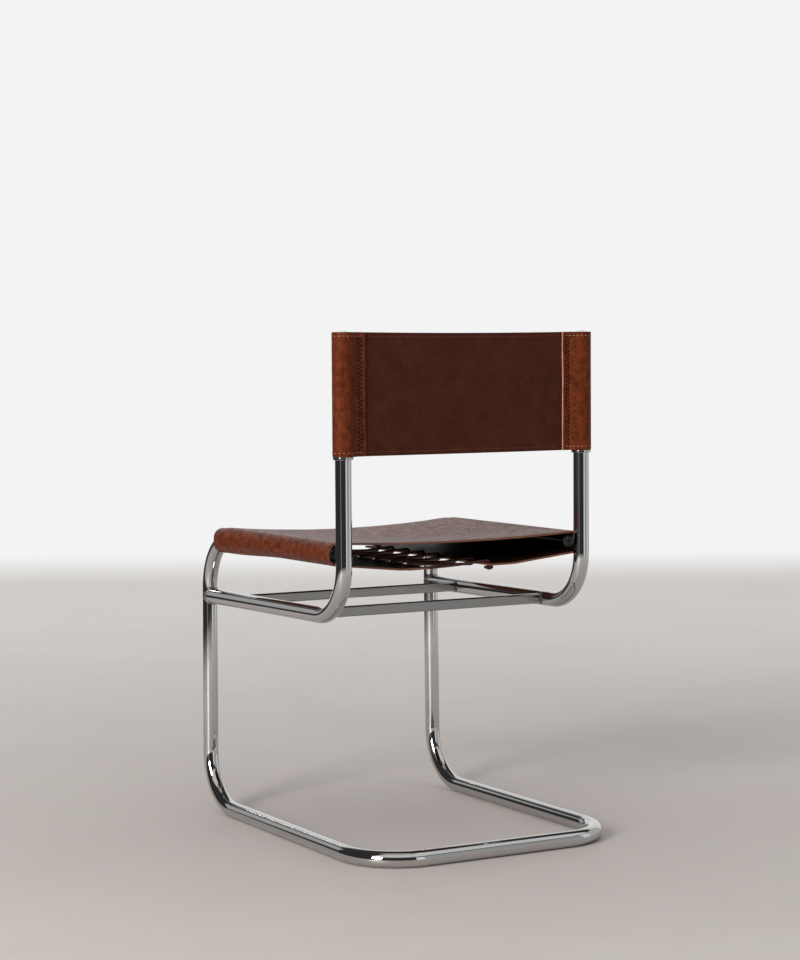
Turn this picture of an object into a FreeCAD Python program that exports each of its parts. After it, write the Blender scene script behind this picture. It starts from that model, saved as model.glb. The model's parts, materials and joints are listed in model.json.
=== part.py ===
import FreeCAD, Part
import math
import os
import Sketcher

# Cantilever dining chair: a bent tube frame, a laced leather seat and a sewn leather back.
# Millimetres, +Z up. The sitter faces -Y and the sitter's left is +X. The origin lies on the
# floor, midway between the front legs and the floor tube at the back.

Vector = FreeCAD.Vector
SIDES = (("left", 1), ("right", -1))
TOLERANCE = 1e-6

SIZES = {
    # Bent tube frame
    "tube_diameter": 25,
    "tube_wall": 2,
    "base_depth": 565,
    "seat_width": 424,
    "leg_flare": 3,
    "seat_rail_height": 460,
    "seat_rail_end_gap": 33,
    "bend_radius": 88,
    # Back tubes: a lower side rail, a bend and an upright
    "upright_reach": 473,
    "upright_top": 787,
    "low_rail_bend_gap": 14.5,
    "low_rail_rise": 6,
    "back_bend_radius": 80,
    # Flat bars between the lower side rails
    "bar_height": 16.5,
    "bar_thickness": 9,
    "bar_corner": 3,
    "front_bar_reach": 101,
    "rear_bar_inset": 104,
    # Welded joints
    "joint_gap": 0.15,
    "weld_size": 1.8,
    "weld_gap": 0.05,
    # Domed plugs in the open tube ends
    "cap_rim": 1.5,
    "cap_height": 6,
    "cap_stem": 18,
    "cap_stem_clearance": 0.15,
    # Rings that the back leather stands on
    "collar_wall": 2.9,
    "collar_height": 4,
    "collar_clearance": 0.1,
    "collar_edge": 0.7,
    # Leather
    "leather_thickness": 3.2,
    "leather_clearance": 0.3,
    # Back panel: one strip with a loop round each upright
    "back_height": 185,
    "back_overhang": 3.5,
    "back_bow": 5.5,
    "back_seam_inset": 28,
    "back_seam_margin": 2,
    "back_flap_width": 10.5,
    "back_turn_radius": 8,
    # Seat: one sheet over both rails with two flaps underneath
    "seat_front": 49,
    "seat_back_gap": 22,
    "seat_middle_inset": 161,
    "seat_sag_front": 10,
    "seat_sag_middle": 12,
    "seat_sag_back": 7,
    "roll_dip_front": 2.5,
    "roll_slack_bend": 10,
    "roll_slack_middle": 4,
    "roll_slack_back": 3.5,
    "flap_drop": 31.5,
    "flap_level_reach": 95,
    "flap_turn_radius": 100,
    "flap_edge_reach": 55,
    # Lace under the seat
    "lace_diameter": 4.2,
    "lace_lift": 1,
    "lace_turn_share": 0.9,
    "eyelet_clearance": 0.5,
    "eyelet_edge_margin": 12,
    "eyelet_front_margin": 27,
    "eyelet_back_margin": 18,
    "eyelet_count": 15,
    "knot_wall": 2.4,
    "knot_grip": 0.25,
    # Sewing thread
    "thread_diameter": 0.9,
    "thread_gap": 0.05,
    "stitch_pitch": 6.3,
    "stitch_length": 3.8,
    "edge_stitch_inset": 6,
    "seam_width": 3.5,
}

RADIUS = "Sizes.tube_diameter / 2"
BORE = "(Sizes.tube_diameter / 2 - Sizes.tube_wall)"
FRONT = "-Sizes.base_depth / 2"
HALF_SEAT = "Sizes.seat_width / 2"
HALF_BASE = "(Sizes.seat_width / 2 + Sizes.leg_flare)"
RAIL_RISE = "(Sizes.seat_rail_height - Sizes.tube_diameter / 2)"
LEAN = "atan(Sizes.leg_flare / " + RAIL_RISE + ")"
LEG_LENGTH = RAIL_RISE + " / cos(" + LEAN + ")"
UPRIGHT_PLACE = "Sizes.upright_reach - Sizes.base_depth / 2"
RAIL_END = UPRIGHT_PLACE + " - Sizes.seat_rail_end_gap"
LOW_RAIL_FRONT = "Sizes.seat_rail_height - Sizes.bend_radius - Sizes.low_rail_bend_gap"
LOW_RAIL_BACK = LOW_RAIL_FRONT + " + Sizes.low_rail_rise"
LOW_RAIL_SLOPE = "atan(Sizes.low_rail_rise / Sizes.upright_reach)"
FRONT_BAR = "Sizes.front_bar_reach"
REAR_BAR = "(Sizes.upright_reach - Sizes.rear_bar_inset)"
BACK_FOOT = "Sizes.upright_top + Sizes.back_overhang - Sizes.back_height"
COLLAR_BORE = RADIUS + " + Sizes.collar_clearance"
BACK_JOIN = "Sizes.seat_width / 2 - Sizes.back_seam_inset + Sizes.back_seam_margin"
SEAT_BACK = "Sizes.upright_reach - Sizes.seat_back_gap"
FLAP_FOOT = "Sizes.seat_rail_height - Sizes.flap_drop"

doc = FreeCAD.newDocument("cantilever_chair")
sheet = doc.addObject("Spreadsheet::Sheet", "Sizes")
for row, (alias, number) in enumerate(SIZES.items(), start=1):
    sheet.set("A" + str(row), alias)
    sheet.set("B" + str(row), str(number))
    sheet.setAlias("B" + str(row), alias)
doc.recompute()

nodes = {}


def size(alias):
    """The number in one cell of the sheet."""
    return float(getattr(sheet, alias))


def value(expression):
    """The number that an expression on the sheet gives, angles in degrees."""
    result = sheet.evalExpression(expression)
    return float(getattr(result, "Value", result))


def finish(piece, name):
    """Give a sub-part its name and list it for export."""
    piece.Label = name
    nodes[name] = piece
    return piece


def bind_place(piece, spot):
    """Tie where a piece stands to the sheet."""
    for letter, expression in zip("xyz", spot):
        piece.setExpression("Placement.Base." + letter, expression)


# Sketch helpers

def origin_plane(body, role):
    return next(item for item in body.Origin.OriginFeatures if item.Role == role)


def new_sketch(body, name, role):
    sketch = body.newObject("Sketcher::SketchObject", name)
    sketch.AttachmentSupport = [(origin_plane(body, role), "")]
    sketch.MapMode = "FlatFace"
    return sketch


def dimension(sketch, name, expression, kind, *where):
    """Add a named dimension whose value comes from the sheet."""
    index = sketch.addConstraint(Sketcher.Constraint(kind, *where, value(expression)))
    sketch.renameConstraint(index, name)
    sketch.setExpression("Constraints." + name, expression)


def pin_point(sketch, name, spot, geometry, position):
    """Fix one point of a sketch at a spot given by two expressions."""
    dimension(sketch, name + "_across", spot[0], "DistanceX", geometry, position)
    dimension(sketch, name + "_up", spot[1], "DistanceY", geometry, position)


def bend_between(before, corner, after, radius):
    """Where a bend of this radius touches its two runs, and its centre."""
    back = (before - corner).normalize()
    ahead = (after - corner).normalize()
    half = back.getAngle(ahead) / 2
    reach = radius / math.tan(half)
    centre = corner + (back + ahead).normalize() * (radius / math.sin(half))
    return corner + back * reach, corner + ahead * reach, centre


def rounded_path(sketch, corners, radius, closed=False):
    """Straight runs through the corners, each inner corner rounded by a tangent arc."""
    points = [Vector(value(across), value(up), 0) for across, up in corners]
    count = len(points)
    runs = count if closed else count - 1
    rounded = range(count) if closed else range(1, count - 1)
    bends = {}
    for index in rounded:
        before, after = points[index - 1], points[(index + 1) % count]
        bends[index] = bend_between(before, points[index], after, value(radius))
    lines = []
    for index in range(runs):
        after = (index + 1) % count
        start = bends[index][1] if index in bends else points[index]
        end = bends[after][0] if after in bends else points[after]
        lines.append(sketch.addGeometry(Part.LineSegment(start, end)))
    arcs = []
    for index in rounded:
        enter, leave, centre = bends[index]
        turn = (enter - centre).cross(leave - centre).z
        first, last = (enter, leave) if turn > 0 else (leave, enter)
        circle = Part.Circle(centre, Vector(0, 0, 1), value(radius))
        angles = [math.atan2(spot.y - centre.y, spot.x - centre.x) for spot in (first, last)]
        arc = sketch.addGeometry(Part.ArcOfCircle(circle, *angles))
        arcs.append(arc)
        enter_end, leave_end = (1, 2) if turn > 0 else (2, 1)
        run_in, run_out = lines[index - 1], lines[index % runs]
        sketch.addConstraint(Sketcher.Constraint("Tangent", run_in, 2, arc, enter_end))
        sketch.addConstraint(Sketcher.Constraint("Tangent", arc, leave_end, run_out, 1))
        corner = sketch.addGeometry(Part.Point(points[index]), True)
        sketch.addConstraint(Sketcher.Constraint("PointOnObject", corner, 1, run_in))
        sketch.addConstraint(Sketcher.Constraint("PointOnObject", corner, 1, run_out))
        pin_point(sketch, "corner_" + str(index), corners[index], corner, 1)
    dimension(sketch, "bend", radius, "Radius", arcs[0])
    for arc in arcs[1:]:
        sketch.addConstraint(Sketcher.Constraint("Equal", arcs[0], arc))
    if not closed:
        pin_point(sketch, "path_start", corners[0], lines[0], 1)
        pin_point(sketch, "path_end", corners[-1], lines[-1], 2)


def ring(sketch, spot, outer, inner):
    """Two circles about one spot, such as the section of a tube."""
    middle = Vector(value(spot[0]), value(spot[1]), 0)
    for name, radius in (("outer", outer), ("inner", inner)):
        circle = sketch.addGeometry(Part.Circle(middle, Vector(0, 0, 1), value(radius)))
        dimension(sketch, name + "_radius", radius, "Radius", circle)
        pin_point(sketch, name + "_middle", spot, circle, 3)


def tube_pipe(body, name, section, path):
    """Sweep the tube's section along its path."""
    doc.recompute()
    pipe = body.newObject("PartDesign::AdditivePipe", name)
    pipe.Profile = section
    pipe.Spine = (path, ["Edge" + str(number + 1) for number in range(len(path.Shape.Edges))])
    section.Visibility = False
    return pipe


# The bent tube: floor loop, floor runners, front legs and seat rails

def build_base_frame():
    body = doc.addObject("PartDesign::Body", "base_frame_tube")
    floor_path = new_sketch(body, "floor_path", "XY_Plane")
    floor_path.setExpression("AttachmentOffset.Base.z", RADIUS)
    rear = "Sizes.base_depth / 2"
    floor_corners = [(HALF_BASE, "0"), (HALF_BASE, rear), ("-" + HALF_BASE, rear), ("-" + HALF_BASE, "0")]
    rounded_path(floor_path, floor_corners, "Sizes.bend_radius")
    floor_section = new_sketch(body, "floor_section", "XZ_Plane")
    ring(floor_section, (HALF_BASE, RADIUS), RADIUS, BORE)
    tube_pipe(body, "floor_loop", floor_section, floor_path)

    side_path = new_sketch(body, "side_path", "YZ_Plane")
    side_path.AttachmentOffset = FreeCAD.Placement(Vector(), FreeCAD.Rotation(Vector(-1, 0, 0), 1))
    side_path.setExpression("AttachmentOffset.Base.y", RADIUS)
    side_path.setExpression("AttachmentOffset.Base.z", HALF_BASE)
    side_path.setExpression("AttachmentOffset.Rotation.Angle", LEAN)
    side_corners = [("0", "0"), (FRONT, "0"), (FRONT, LEG_LENGTH), (RAIL_END, LEG_LENGTH)]
    rounded_path(side_path, side_corners, "Sizes.bend_radius")
    side_section = new_sketch(body, "side_section", "XZ_Plane")
    ring(side_section, (HALF_BASE, RADIUS), RADIUS, BORE)
    side_pipe = tube_pipe(body, "side_run", side_section, side_path)

    doc.recompute()
    both = body.newObject("PartDesign::Mirrored", "both_sides")
    both.Originals = [side_pipe]
    both.MirrorPlane = (origin_plane(body, "YZ_Plane"), [""])
    body.Tip = both
    finish(body, "base_frame_tube")


# Cylinders on the axes of the front legs and of the lower side rails

def cylinder(name, radius, length, spot, axis, angle):
    piece = doc.addObject("Part::Cylinder", name)
    piece.setExpression("Radius", radius)
    piece.setExpression("Height", length)
    piece.Placement = FreeCAD.Placement(Vector(), FreeCAD.Rotation(axis, 1))
    bind_place(piece, spot)
    piece.setExpression("Placement.Rotation.Angle", angle)
    return piece


def on_leg(name, sign, extra):
    spot = (str(sign) + " * " + HALF_BASE, FRONT, RADIUS)
    return cylinder(name, RADIUS + " + " + extra, LEG_LENGTH, spot, Vector(0, -sign, 0), LEAN)


def on_low_rail(name, sign, extra):
    spot = (str(sign) + " * " + HALF_SEAT, FRONT, LOW_RAIL_FRONT)
    angle = "90 deg - " + LOW_RAIL_SLOPE
    return cylinder(name, RADIUS + " + " + extra, "Sizes.upright_reach", spot, Vector(-1, 0, 0), angle)


def cut(name, base, tool):
    piece = doc.addObject("Part::Cut", name)
    piece.Base = base
    piece.Tool = tool
    return piece


def group(name, pieces):
    """Several separate solids in one node."""
    piece = doc.addObject("Part::Compound", name)
    piece.Links = pieces
    return finish(piece, name)


# Lower side rail, bend and upright, its front end coped to the leg

def build_back_tube(side, sign):
    body = doc.addObject("PartDesign::Body", "back_tube_blank_" + side)
    path = new_sketch(body, "back_path_" + side, "YZ_Plane")
    across = str(sign) + " * " + HALF_SEAT
    path.setExpression("AttachmentOffset.Base.z", across)
    corners = [
        (UPRIGHT_PLACE, "Sizes.upright_top"),
        (UPRIGHT_PLACE, LOW_RAIL_BACK),
        (FRONT, LOW_RAIL_FRONT),
    ]
    rounded_path(path, corners, "Sizes.back_bend_radius")
    section = new_sketch(body, "back_section_" + side, "XY_Plane")
    section.setExpression("AttachmentOffset.Base.z", "Sizes.upright_top")
    ring(section, (across, UPRIGHT_PLACE), RADIUS, BORE)
    tube_pipe(body, "back_run_" + side, section, path)
    finish(cut("back_tube_" + side, body, leg_room[side]), "back_tube_" + side)


# Flat bars with rounded edges, each end coped to a lower side rail

def bar_height_expression(reach):
    return LOW_RAIL_FRONT + " + Sizes.low_rail_rise * " + reach + " / Sizes.upright_reach"


def bar_blank(name, reach, extra):
    """The bar before its ends are coped, or a fuller copy of it for the weld beads."""
    body = doc.addObject("PartDesign::Body", name)
    section = new_sketch(body, name + "_section", "YZ_Plane")
    place = reach + " - Sizes.base_depth / 2"
    height = bar_height_expression(reach)
    half_thick = "(Sizes.bar_thickness / 2 + " + extra + ")"
    half_high = "(Sizes.bar_height / 2 + " + extra + ")"
    corners = []
    for along, up in ((-1, -1), (1, -1), (1, 1), (-1, 1)):
        corner_y = "%s + %d * %s" % (place, along, half_thick)
        corner_z = "%s + %d * %s" % (height, up, half_high)
        corners.append((corner_y, corner_z))
    rounded_path(section, corners, "Sizes.bar_corner + " + extra, closed=True)
    doc.recompute()
    pad = body.newObject("PartDesign::Pad", name + "_length")
    pad.Profile = section
    pad.SideType = "Symmetric"
    pad.setExpression("Length", "Sizes.seat_width")
    return body


def build_cross_bar(name, reach):
    blank = bar_blank(name + "_blank", reach, "0")
    ends = doc.addObject("Part::Compound", name + "_ends")
    ends.Links = [rail_room["left"], rail_room["right"]]
    finish(cut(name, blank, ends), name)


# Weld beads, thin rings in the corner where two tubes or a bar and a tube meet

def bead(name, first_full, second_full, first_core, second_core):
    """What two fuller shapes share, less the two pieces that the bead joins."""
    shared = doc.addObject("Part::Common", name + "_shared")
    shared.Base = first_full
    shared.Tool = second_full
    outside = cut(name + "_outside", shared, first_core)
    return cut(name, outside, second_core)


def build_welds():
    rail_beads = []
    bar_beads = []
    bars = []
    for name, reach in (("front", FRONT_BAR), ("rear", REAR_BAR)):
        full_bar = bar_blank(name + "_bar_full", reach, "Sizes.weld_size")
        core_bar = bar_blank(name + "_bar_core", reach, "Sizes.weld_gap")
        bars.append((name, full_bar, core_bar))
    for side, sign in SIDES:
        full_leg = on_leg("leg_full_" + side, sign, "Sizes.weld_size")
        full_rail = on_low_rail("rail_full_" + side, sign, "Sizes.weld_size")
        core_leg = on_leg("leg_core_" + side, sign, "Sizes.weld_gap")
        core_rail = on_low_rail("rail_core_" + side, sign, "Sizes.weld_gap")
        rail_beads.append(bead("rail_bead_" + side, full_leg, full_rail, core_leg, core_rail))
        for name, full_bar, core_bar in bars:
            bead_name = name + "_bead_" + side
            bar_beads.append(bead(bead_name, full_bar, full_rail, core_bar, core_rail))
    group("side_rail_welds", rail_beads)
    group("cross_bar_welds", bar_beads)


# Domed plug with a stem that fills the tube's bore

def build_cap(name, spot, turn):
    body = doc.addObject("PartDesign::Body", name)
    sketch = new_sketch(body, name + "_outline", "XZ_Plane")
    stem = BORE + " - Sizes.cap_stem_clearance"
    corners = [
        ("0", "-Sizes.cap_stem"),
        (stem, "-Sizes.cap_stem"),
        (stem, "0"),
        (RADIUS, "0"),
        (RADIUS, "Sizes.cap_rim"),
    ]
    points = [Vector(value(across), value(up), 0) for across, up in corners]
    lines = []
    for index, (start, end) in enumerate(zip(points, points[1:])):
        lines.append(sketch.addGeometry(Part.LineSegment(start, end)))
        if index:
            sketch.addConstraint(Sketcher.Constraint("Coincident", lines[-2], 2, lines[-1], 1))
        pin_point(sketch, "corner_" + str(index), corners[index], lines[-1], 1)
    pin_point(sketch, "rim_top", corners[-1], lines[-1], 2)
    rim, top = points[-1], Vector(0, size("cap_height"), 0)
    rise = top.y - rim.y
    dome_radius = (rim.x ** 2 + rise ** 2) / (2 * rise)
    circle = Part.Circle(Vector(0, top.y - dome_radius, 0), Vector(0, 0, 1), dome_radius)
    rim_angle = math.atan2(rim.y - circle.Center.y, rim.x)
    dome = sketch.addGeometry(Part.ArcOfCircle(circle, rim_angle, math.pi / 2))
    axis = sketch.addGeometry(Part.LineSegment(top, points[0]))
    sketch.addConstraint(Sketcher.Constraint("Coincident", lines[-1], 2, dome, 1))
    sketch.addConstraint(Sketcher.Constraint("Coincident", dome, 2, axis, 1))
    sketch.addConstraint(Sketcher.Constraint("Coincident", axis, 2, lines[0], 1))
    sketch.addConstraint(Sketcher.Constraint("PointOnObject", dome, 3, axis))
    pin_point(sketch, "dome_top", ("0", "Sizes.cap_height"), axis, 1)
    doc.recompute()
    spin = body.newObject("PartDesign::Revolution", name + "_turned")
    spin.Profile = sketch
    spin.ReferenceAxis = (sketch, ["V_Axis"])
    body.Placement = FreeCAD.Placement(Vector(), turn)
    bind_place(body, spot)
    finish(body, name)


def build_caps():
    upright = FreeCAD.Rotation()
    backwards = FreeCAD.Rotation(Vector(-1, 0, 0), 90)
    for side, sign in SIDES:
        across = str(sign) + " * " + HALF_SEAT
        build_cap("seat_rail_cap_" + side, (across, RAIL_END, "Sizes.seat_rail_height"), backwards)
        build_cap("back_post_cap_" + side, (across, UPRIGHT_PLACE, "Sizes.upright_top"), upright)


# Ring on an upright, right under the back leather

def build_collar(side, sign):
    name = "back_collar_" + side
    body = doc.addObject("PartDesign::Body", name)
    sketch = new_sketch(body, name + "_outline", "XY_Plane")
    ring(sketch, ("0", "0"), COLLAR_BORE + " + Sizes.collar_wall", COLLAR_BORE)
    doc.recompute()
    pad = body.newObject("PartDesign::Pad", name + "_height")
    pad.Profile = sketch
    pad.setExpression("Length", "Sizes.collar_height")
    doc.recompute()
    outside = value(COLLAR_BORE) + size("collar_wall")
    rims = []
    for number, edge in enumerate(pad.Shape.Edges, start=1):
        if hasattr(edge.Curve, "Radius") and abs(edge.Curve.Radius - outside) < TOLERANCE:
            rims.append("Edge" + str(number))
    rounded = body.newObject("PartDesign::Fillet", name + "_edges")
    rounded.Base = (pad, rims)
    rounded.setExpression("Radius", "Sizes.collar_edge")
    lift = BACK_FOOT + " - Sizes.leather_clearance - Sizes.collar_height"
    bind_place(body, (str(sign) + " * " + HALF_SEAT, UPRIGHT_PLACE, lift))
    finish(body, name)


# Leather strips: an even thickness along lines and arcs, drawn in a plane

def heading_vector(angle):
    return Vector(math.cos(angle), math.sin(angle), 0)


def strip_rims(start, heading, moves, thickness):
    """Both rims of a strip. A move is (None, length) or (radius, signed turn in radians)."""
    rims = {1: [], -1: []}
    spot = start
    for radius, amount in moves:
        left = heading_vector(heading + math.pi / 2)
        if radius is None:
            ahead = spot + heading_vector(heading) * amount
            for rim in rims:
                offset = left * (rim * thickness / 2)
                rims[rim].append((spot + offset, None, ahead + offset))
            spot = ahead
        else:
            way = math.copysign(1, amount)
            centre = spot + left * (way * radius)
            for rim in rims:
                reach = radius - rim * way * thickness / 2
                turned = [heading, heading + amount / 2, heading + amount]
                rims[rim].append(tuple(
                    centre - heading_vector(angle + math.pi / 2) * (way * reach) for angle in turned))
            heading += amount
            spot = centre - heading_vector(heading + math.pi / 2) * (way * radius)
    return rims


def strip_wire(rims, to_space):
    """The closed outline of a strip, laid in space by the given function."""
    edges = []
    forward, backward = rims[1], [piece[::-1] for piece in reversed(rims[-1])]
    outline = forward + [(forward[-1][2], None, backward[0][0])]
    outline += backward + [(backward[-1][2], None, forward[0][0])]
    for start, middle, end in outline:
        if middle is None:
            edges.append(Part.LineSegment(to_space(start), to_space(end)).toShape())
        else:
            edges.append(Part.Arc(to_space(start), to_space(middle), to_space(end)).toShape())
    return Part.Wire(edges)


def both_halves(half):
    """One solid from a half and its mirror image across the middle of the chair."""
    return half.fuse(half.mirror(Vector(), Vector(1, 0, 0))).removeSplitter()


def loop_branch(start, ahead, away, turn_radius, loop_centre, loop_radius):
    """How a strip turns away and runs straight until it touches the loop round a post."""
    turn_centre = start + away * turn_radius
    across = loop_centre - turn_centre
    straight = math.sqrt(across.Length ** 2 - (turn_radius + loop_radius) ** 2)
    lift = math.asin((turn_radius + loop_radius) / across.Length)
    return lift - ahead.getAngle(across), straight


def back_profile():
    """Start, heading and moves of half the back strip, seen from above, about the uprights' plane."""
    thickness = size("leather_thickness")
    pair = thickness + size("leather_clearance")
    join = value(BACK_JOIN)
    bow = size("back_bow")
    tilt = 2 * math.atan2(bow, join)
    bow_radius = join / math.sin(tilt)
    loop_radius = size("tube_diameter") / 2 + size("leather_clearance") + thickness / 2
    post = Vector(size("seat_width") / 2, 0, 0)
    ahead = heading_vector(-tilt)
    rearward = heading_vector(math.pi / 2 - tilt)
    front_join = Vector(join, -pair / 2, 0)
    rear_join = front_join + rearward * pair
    turn_radius = size("back_turn_radius")
    front_turn, front_run = loop_branch(
        front_join, ahead, rearward * -1, turn_radius, post, loop_radius)
    rear_turn, rear_run = loop_branch(rear_join, ahead, rearward, turn_radius, post, loop_radius)
    wrap = math.pi + front_turn + rear_turn
    flap_radius = bow_radius + pair
    flap_length = size("back_flap_width")
    start = Vector(0, bow - pair / 2, 0)
    moves = [
        (bow_radius, -tilt),
        (turn_radius, -front_turn),
        (None, front_run),
        (loop_radius, wrap / 2),
        (loop_radius, wrap / 2),
        (None, rear_run),
        (turn_radius, -rear_turn),
        (flap_radius, flap_length / flap_radius),
    ]
    return start, moves


def back_to_space(height):
    """Lay a point of the back strip's profile in space at a height."""
    plane = value(UPRIGHT_PLACE)
    return lambda spot: Vector(spot.x, spot.y + plane, height)


def build_back_leather():
    start, moves = back_profile()
    rims = strip_rims(start, 0, moves, size("leather_thickness"))
    profile = Part.Face(strip_wire(rims, back_to_space(value(BACK_FOOT))))
    half = profile.extrude(Vector(0, 0, size("back_height")))
    piece = doc.addObject("Part::Feature", "backrest_leather")
    piece.Shape = both_halves(half)
    finish(piece, "backrest_leather")


# Sewing thread of the back

def stitch(spot, along):
    """One stitch, a short length of thread about a spot."""
    reach = size("stitch_length")
    return Part.makeCylinder(size("thread_diameter") / 2, reach, spot - along * (reach / 2), along)


def stitches_on(rim, rim_sign, heights):
    """Stitches at the pitch along one rim of the back strip, on both sides of the chair."""
    edges = []
    for start, middle, end in rim:
        if middle is None:
            edges.append(Part.LineSegment(start, end).toShape())
        else:
            edges.append(Part.Arc(start, middle, end).toShape())
    outwards = size("thread_diameter") / 2 + size("thread_gap")
    plane = value(UPRIGHT_PLACE)
    solids = []
    next_place = size("stitch_pitch") / 2
    travelled = 0
    for edge in edges:
        while next_place < travelled + edge.Length - size("stitch_length") / 2:
            place = edge.getParameterByLength(max(next_place - travelled, 0))
            along = edge.tangentAt(place)
            off = Vector(-along.y, along.x, 0) * (rim_sign * outwards)
            spot = edge.valueAt(place) + off
            for height in heights:
                for sign in (1, -1):
                    middle = Vector(sign * spot.x, spot.y + plane, height)
                    solids.append(stitch(middle, Vector(sign * along.x, along.y, 0)))
            next_place += size("stitch_pitch")
        travelled += edge.Length
    return solids


def build_edge_threads():
    start, moves = back_profile()
    rims = strip_rims(start, 0, moves, size("leather_thickness"))
    panel_rear = rims[1][:1]
    outside = rims[-1]
    low = value(BACK_FOOT) + size("edge_stitch_inset")
    high = value(BACK_FOOT) + size("back_height") - size("edge_stitch_inset")
    for name, height in (("back_edge_thread_top", high), ("back_edge_thread_bottom", low)):
        piece = doc.addObject("Part::Feature", name)
        rear = trim_under_flap(stitches_on(panel_rear, 1, [height]))
        piece.Shape = Part.Compound(rear + stitches_on(outside, -1, [height]))
        finish(piece, name)


def trim_under_flap(solids):
    """Leave out the panel stitches that the flap covers."""
    limit = value(BACK_JOIN) - size("back_flap_width") - size("stitch_length")
    return [solid for solid in solids if abs(solid.CenterOfMass.x) < limit]


def zigzag(count, width, pitch, thick, depth):
    """A flat zigzag of thread that climbs along Y, as one solid."""
    centres = [Vector((index % 2 - 0.5) * width, index * pitch / 2, 0) for index in range(count + 1)]
    half = Vector(thick / 2 * math.hypot(width, pitch / 2) / (pitch / 2), 0, 0)
    outline = [spot + half for spot in centres] + [spot - half for spot in reversed(centres)]
    outline.append(outline[0])
    return Part.Face(Part.makePolygon(outline)).extrude(Vector(0, 0, depth))


def build_seam_thread(side, sign):
    pitch = size("stitch_pitch")
    room = size("back_height") - 2 * size("edge_stitch_inset")
    count = 2 * int(room / pitch)
    depth = size("thread_diameter") / 2
    ribbon = zigzag(count, size("seam_width"), pitch, size("thread_diameter"), depth)
    join = value(BACK_JOIN)
    tilt = 2 * math.atan2(size("back_bow"), join)
    thickness = size("leather_thickness")
    pair = thickness + size("leather_clearance")
    middle = Vector(join, -pair / 2, 0) + heading_vector(-tilt) * -size("back_seam_margin")
    out = heading_vector(math.pi / 2 - tilt)
    foot = value(BACK_FOOT) + (size("back_height") - count * pitch / 2) / 2
    clear = thickness / 2 + size("thread_gap")
    solids = []
    for off, flip in ((pair + clear, 0), (-clear - depth, 0)):
        spot = middle + out * off
        place = FreeCAD.Placement(
            Vector(spot.x, spot.y + value(UPRIGHT_PLACE), foot),
            FreeCAD.Rotation(Vector(0, 0, 1), 180 - math.degrees(tilt)) *
            FreeCAD.Rotation(Vector(1, 0, 0), 90))
        solid = ribbon.copy()
        solid.Placement = place
        solids.append(solid)
    shape = Part.Compound(solids)
    if sign < 0:
        shape = shape.mirror(Vector(), Vector(1, 0, 0))
    name = "back_seam_thread_" + side
    piece = doc.addObject("Part::Feature", name)
    piece.Shape = shape
    finish(piece, name)


# Seat leather: sections from front to back, lofted, with two rows of eyelets

def rail_underside(reach):
    """Height of the seat rail's underside at a distance behind the front legs."""
    bend = size("bend_radius")
    back = max(bend - reach, 0)
    inner = bend - size("tube_diameter") / 2
    return size("seat_rail_height") - bend + math.sqrt(inner ** 2 - back ** 2)


def seat_section(reach, sag, dip, slack):
    """Half of the seat strip at a distance behind the front legs, seen from the front."""
    thickness = size("leather_thickness")
    roll = size("tube_diameter") / 2 + size("leather_clearance") + thickness / 2
    half_width = size("seat_width") / 2
    rail = size("seat_rail_height")
    span = (half_width ** 2 + sag ** 2) / (2 * sag)
    rise = math.asin(half_width / span)
    low_centre = Vector(half_width, rail - slack, 0)
    flap_centre_height = value(FLAP_FOOT) + thickness / 2
    turn = size("flap_turn_radius")
    flap_centre = Vector(size("flap_level_reach"), flap_centre_height + turn, 0)
    across = flap_centre - low_centre
    droop = math.asin((turn - roll) / across.Length) + math.atan2(across.y, across.x) - math.pi
    straight = math.sqrt(across.Length ** 2 - (turn - roll) ** 2)
    moves = [
        (span - roll, rise),
        (roll, -(math.pi / 2 + rise)),
        (None, slack - dip),
        (roll, -(math.pi / 2 - droop)),
        (None, straight),
        (turn, -droop),
        (None, size("flap_level_reach") - size("flap_edge_reach")),
    ]
    rims = strip_rims(Vector(0, rail - dip + roll - sag, 0), 0, moves, thickness)
    place = reach + value(FRONT)
    return strip_wire(rims, lambda spot: Vector(spot.x, place, spot.y))


def eyelet_spots():
    """Eyelets in the order that the lace meets them, right and left flap in turn."""
    reach = size("flap_edge_reach") + size("eyelet_edge_margin")
    start = size("seat_front") + size("eyelet_front_margin")
    count = int(size("eyelet_count"))
    step = (value(SEAT_BACK) - size("eyelet_back_margin") - start) / (count - 1)
    return [((1 if index % 2 else -1) * reach, value(FRONT) + start + index * step)
            for index in range(count)]


def build_seat_leather():
    front = size("seat_front")
    roll_inside = size("tube_diameter") / 2 + size("leather_clearance")
    front_low = rail_underside(front) - size("leather_clearance") + roll_inside
    front_slack = size("seat_rail_height") - front_low
    middle = value(SEAT_BACK) - size("seat_middle_inset")
    stations = [
        (front, size("seat_sag_front"), size("roll_dip_front"), front_slack),
        (size("bend_radius"), size("seat_sag_front"), 0, size("roll_slack_bend")),
        (middle, size("seat_sag_middle"), 0, size("roll_slack_middle")),
        (value(SEAT_BACK), size("seat_sag_back"), 0, size("roll_slack_back")),
    ]
    half = Part.makeLoft([seat_section(*station) for station in stations], True, True)
    sheet_shape = both_halves(half)
    below = value(FLAP_FOOT) - size("leather_thickness")
    hole_radius = size("lace_diameter") / 2 + size("eyelet_clearance")
    for across, along in eyelet_spots():
        hole = Part.makeCylinder(hole_radius, 3 * size("leather_thickness"), Vector(across, along, below))
        sheet_shape = sheet_shape.cut(hole)
    piece = doc.addObject("Part::Feature", "seat_leather")
    piece.Shape = sheet_shape
    finish(piece, "seat_leather")


# Lace that pulls the two flaps together, and its stopper knots

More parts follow.
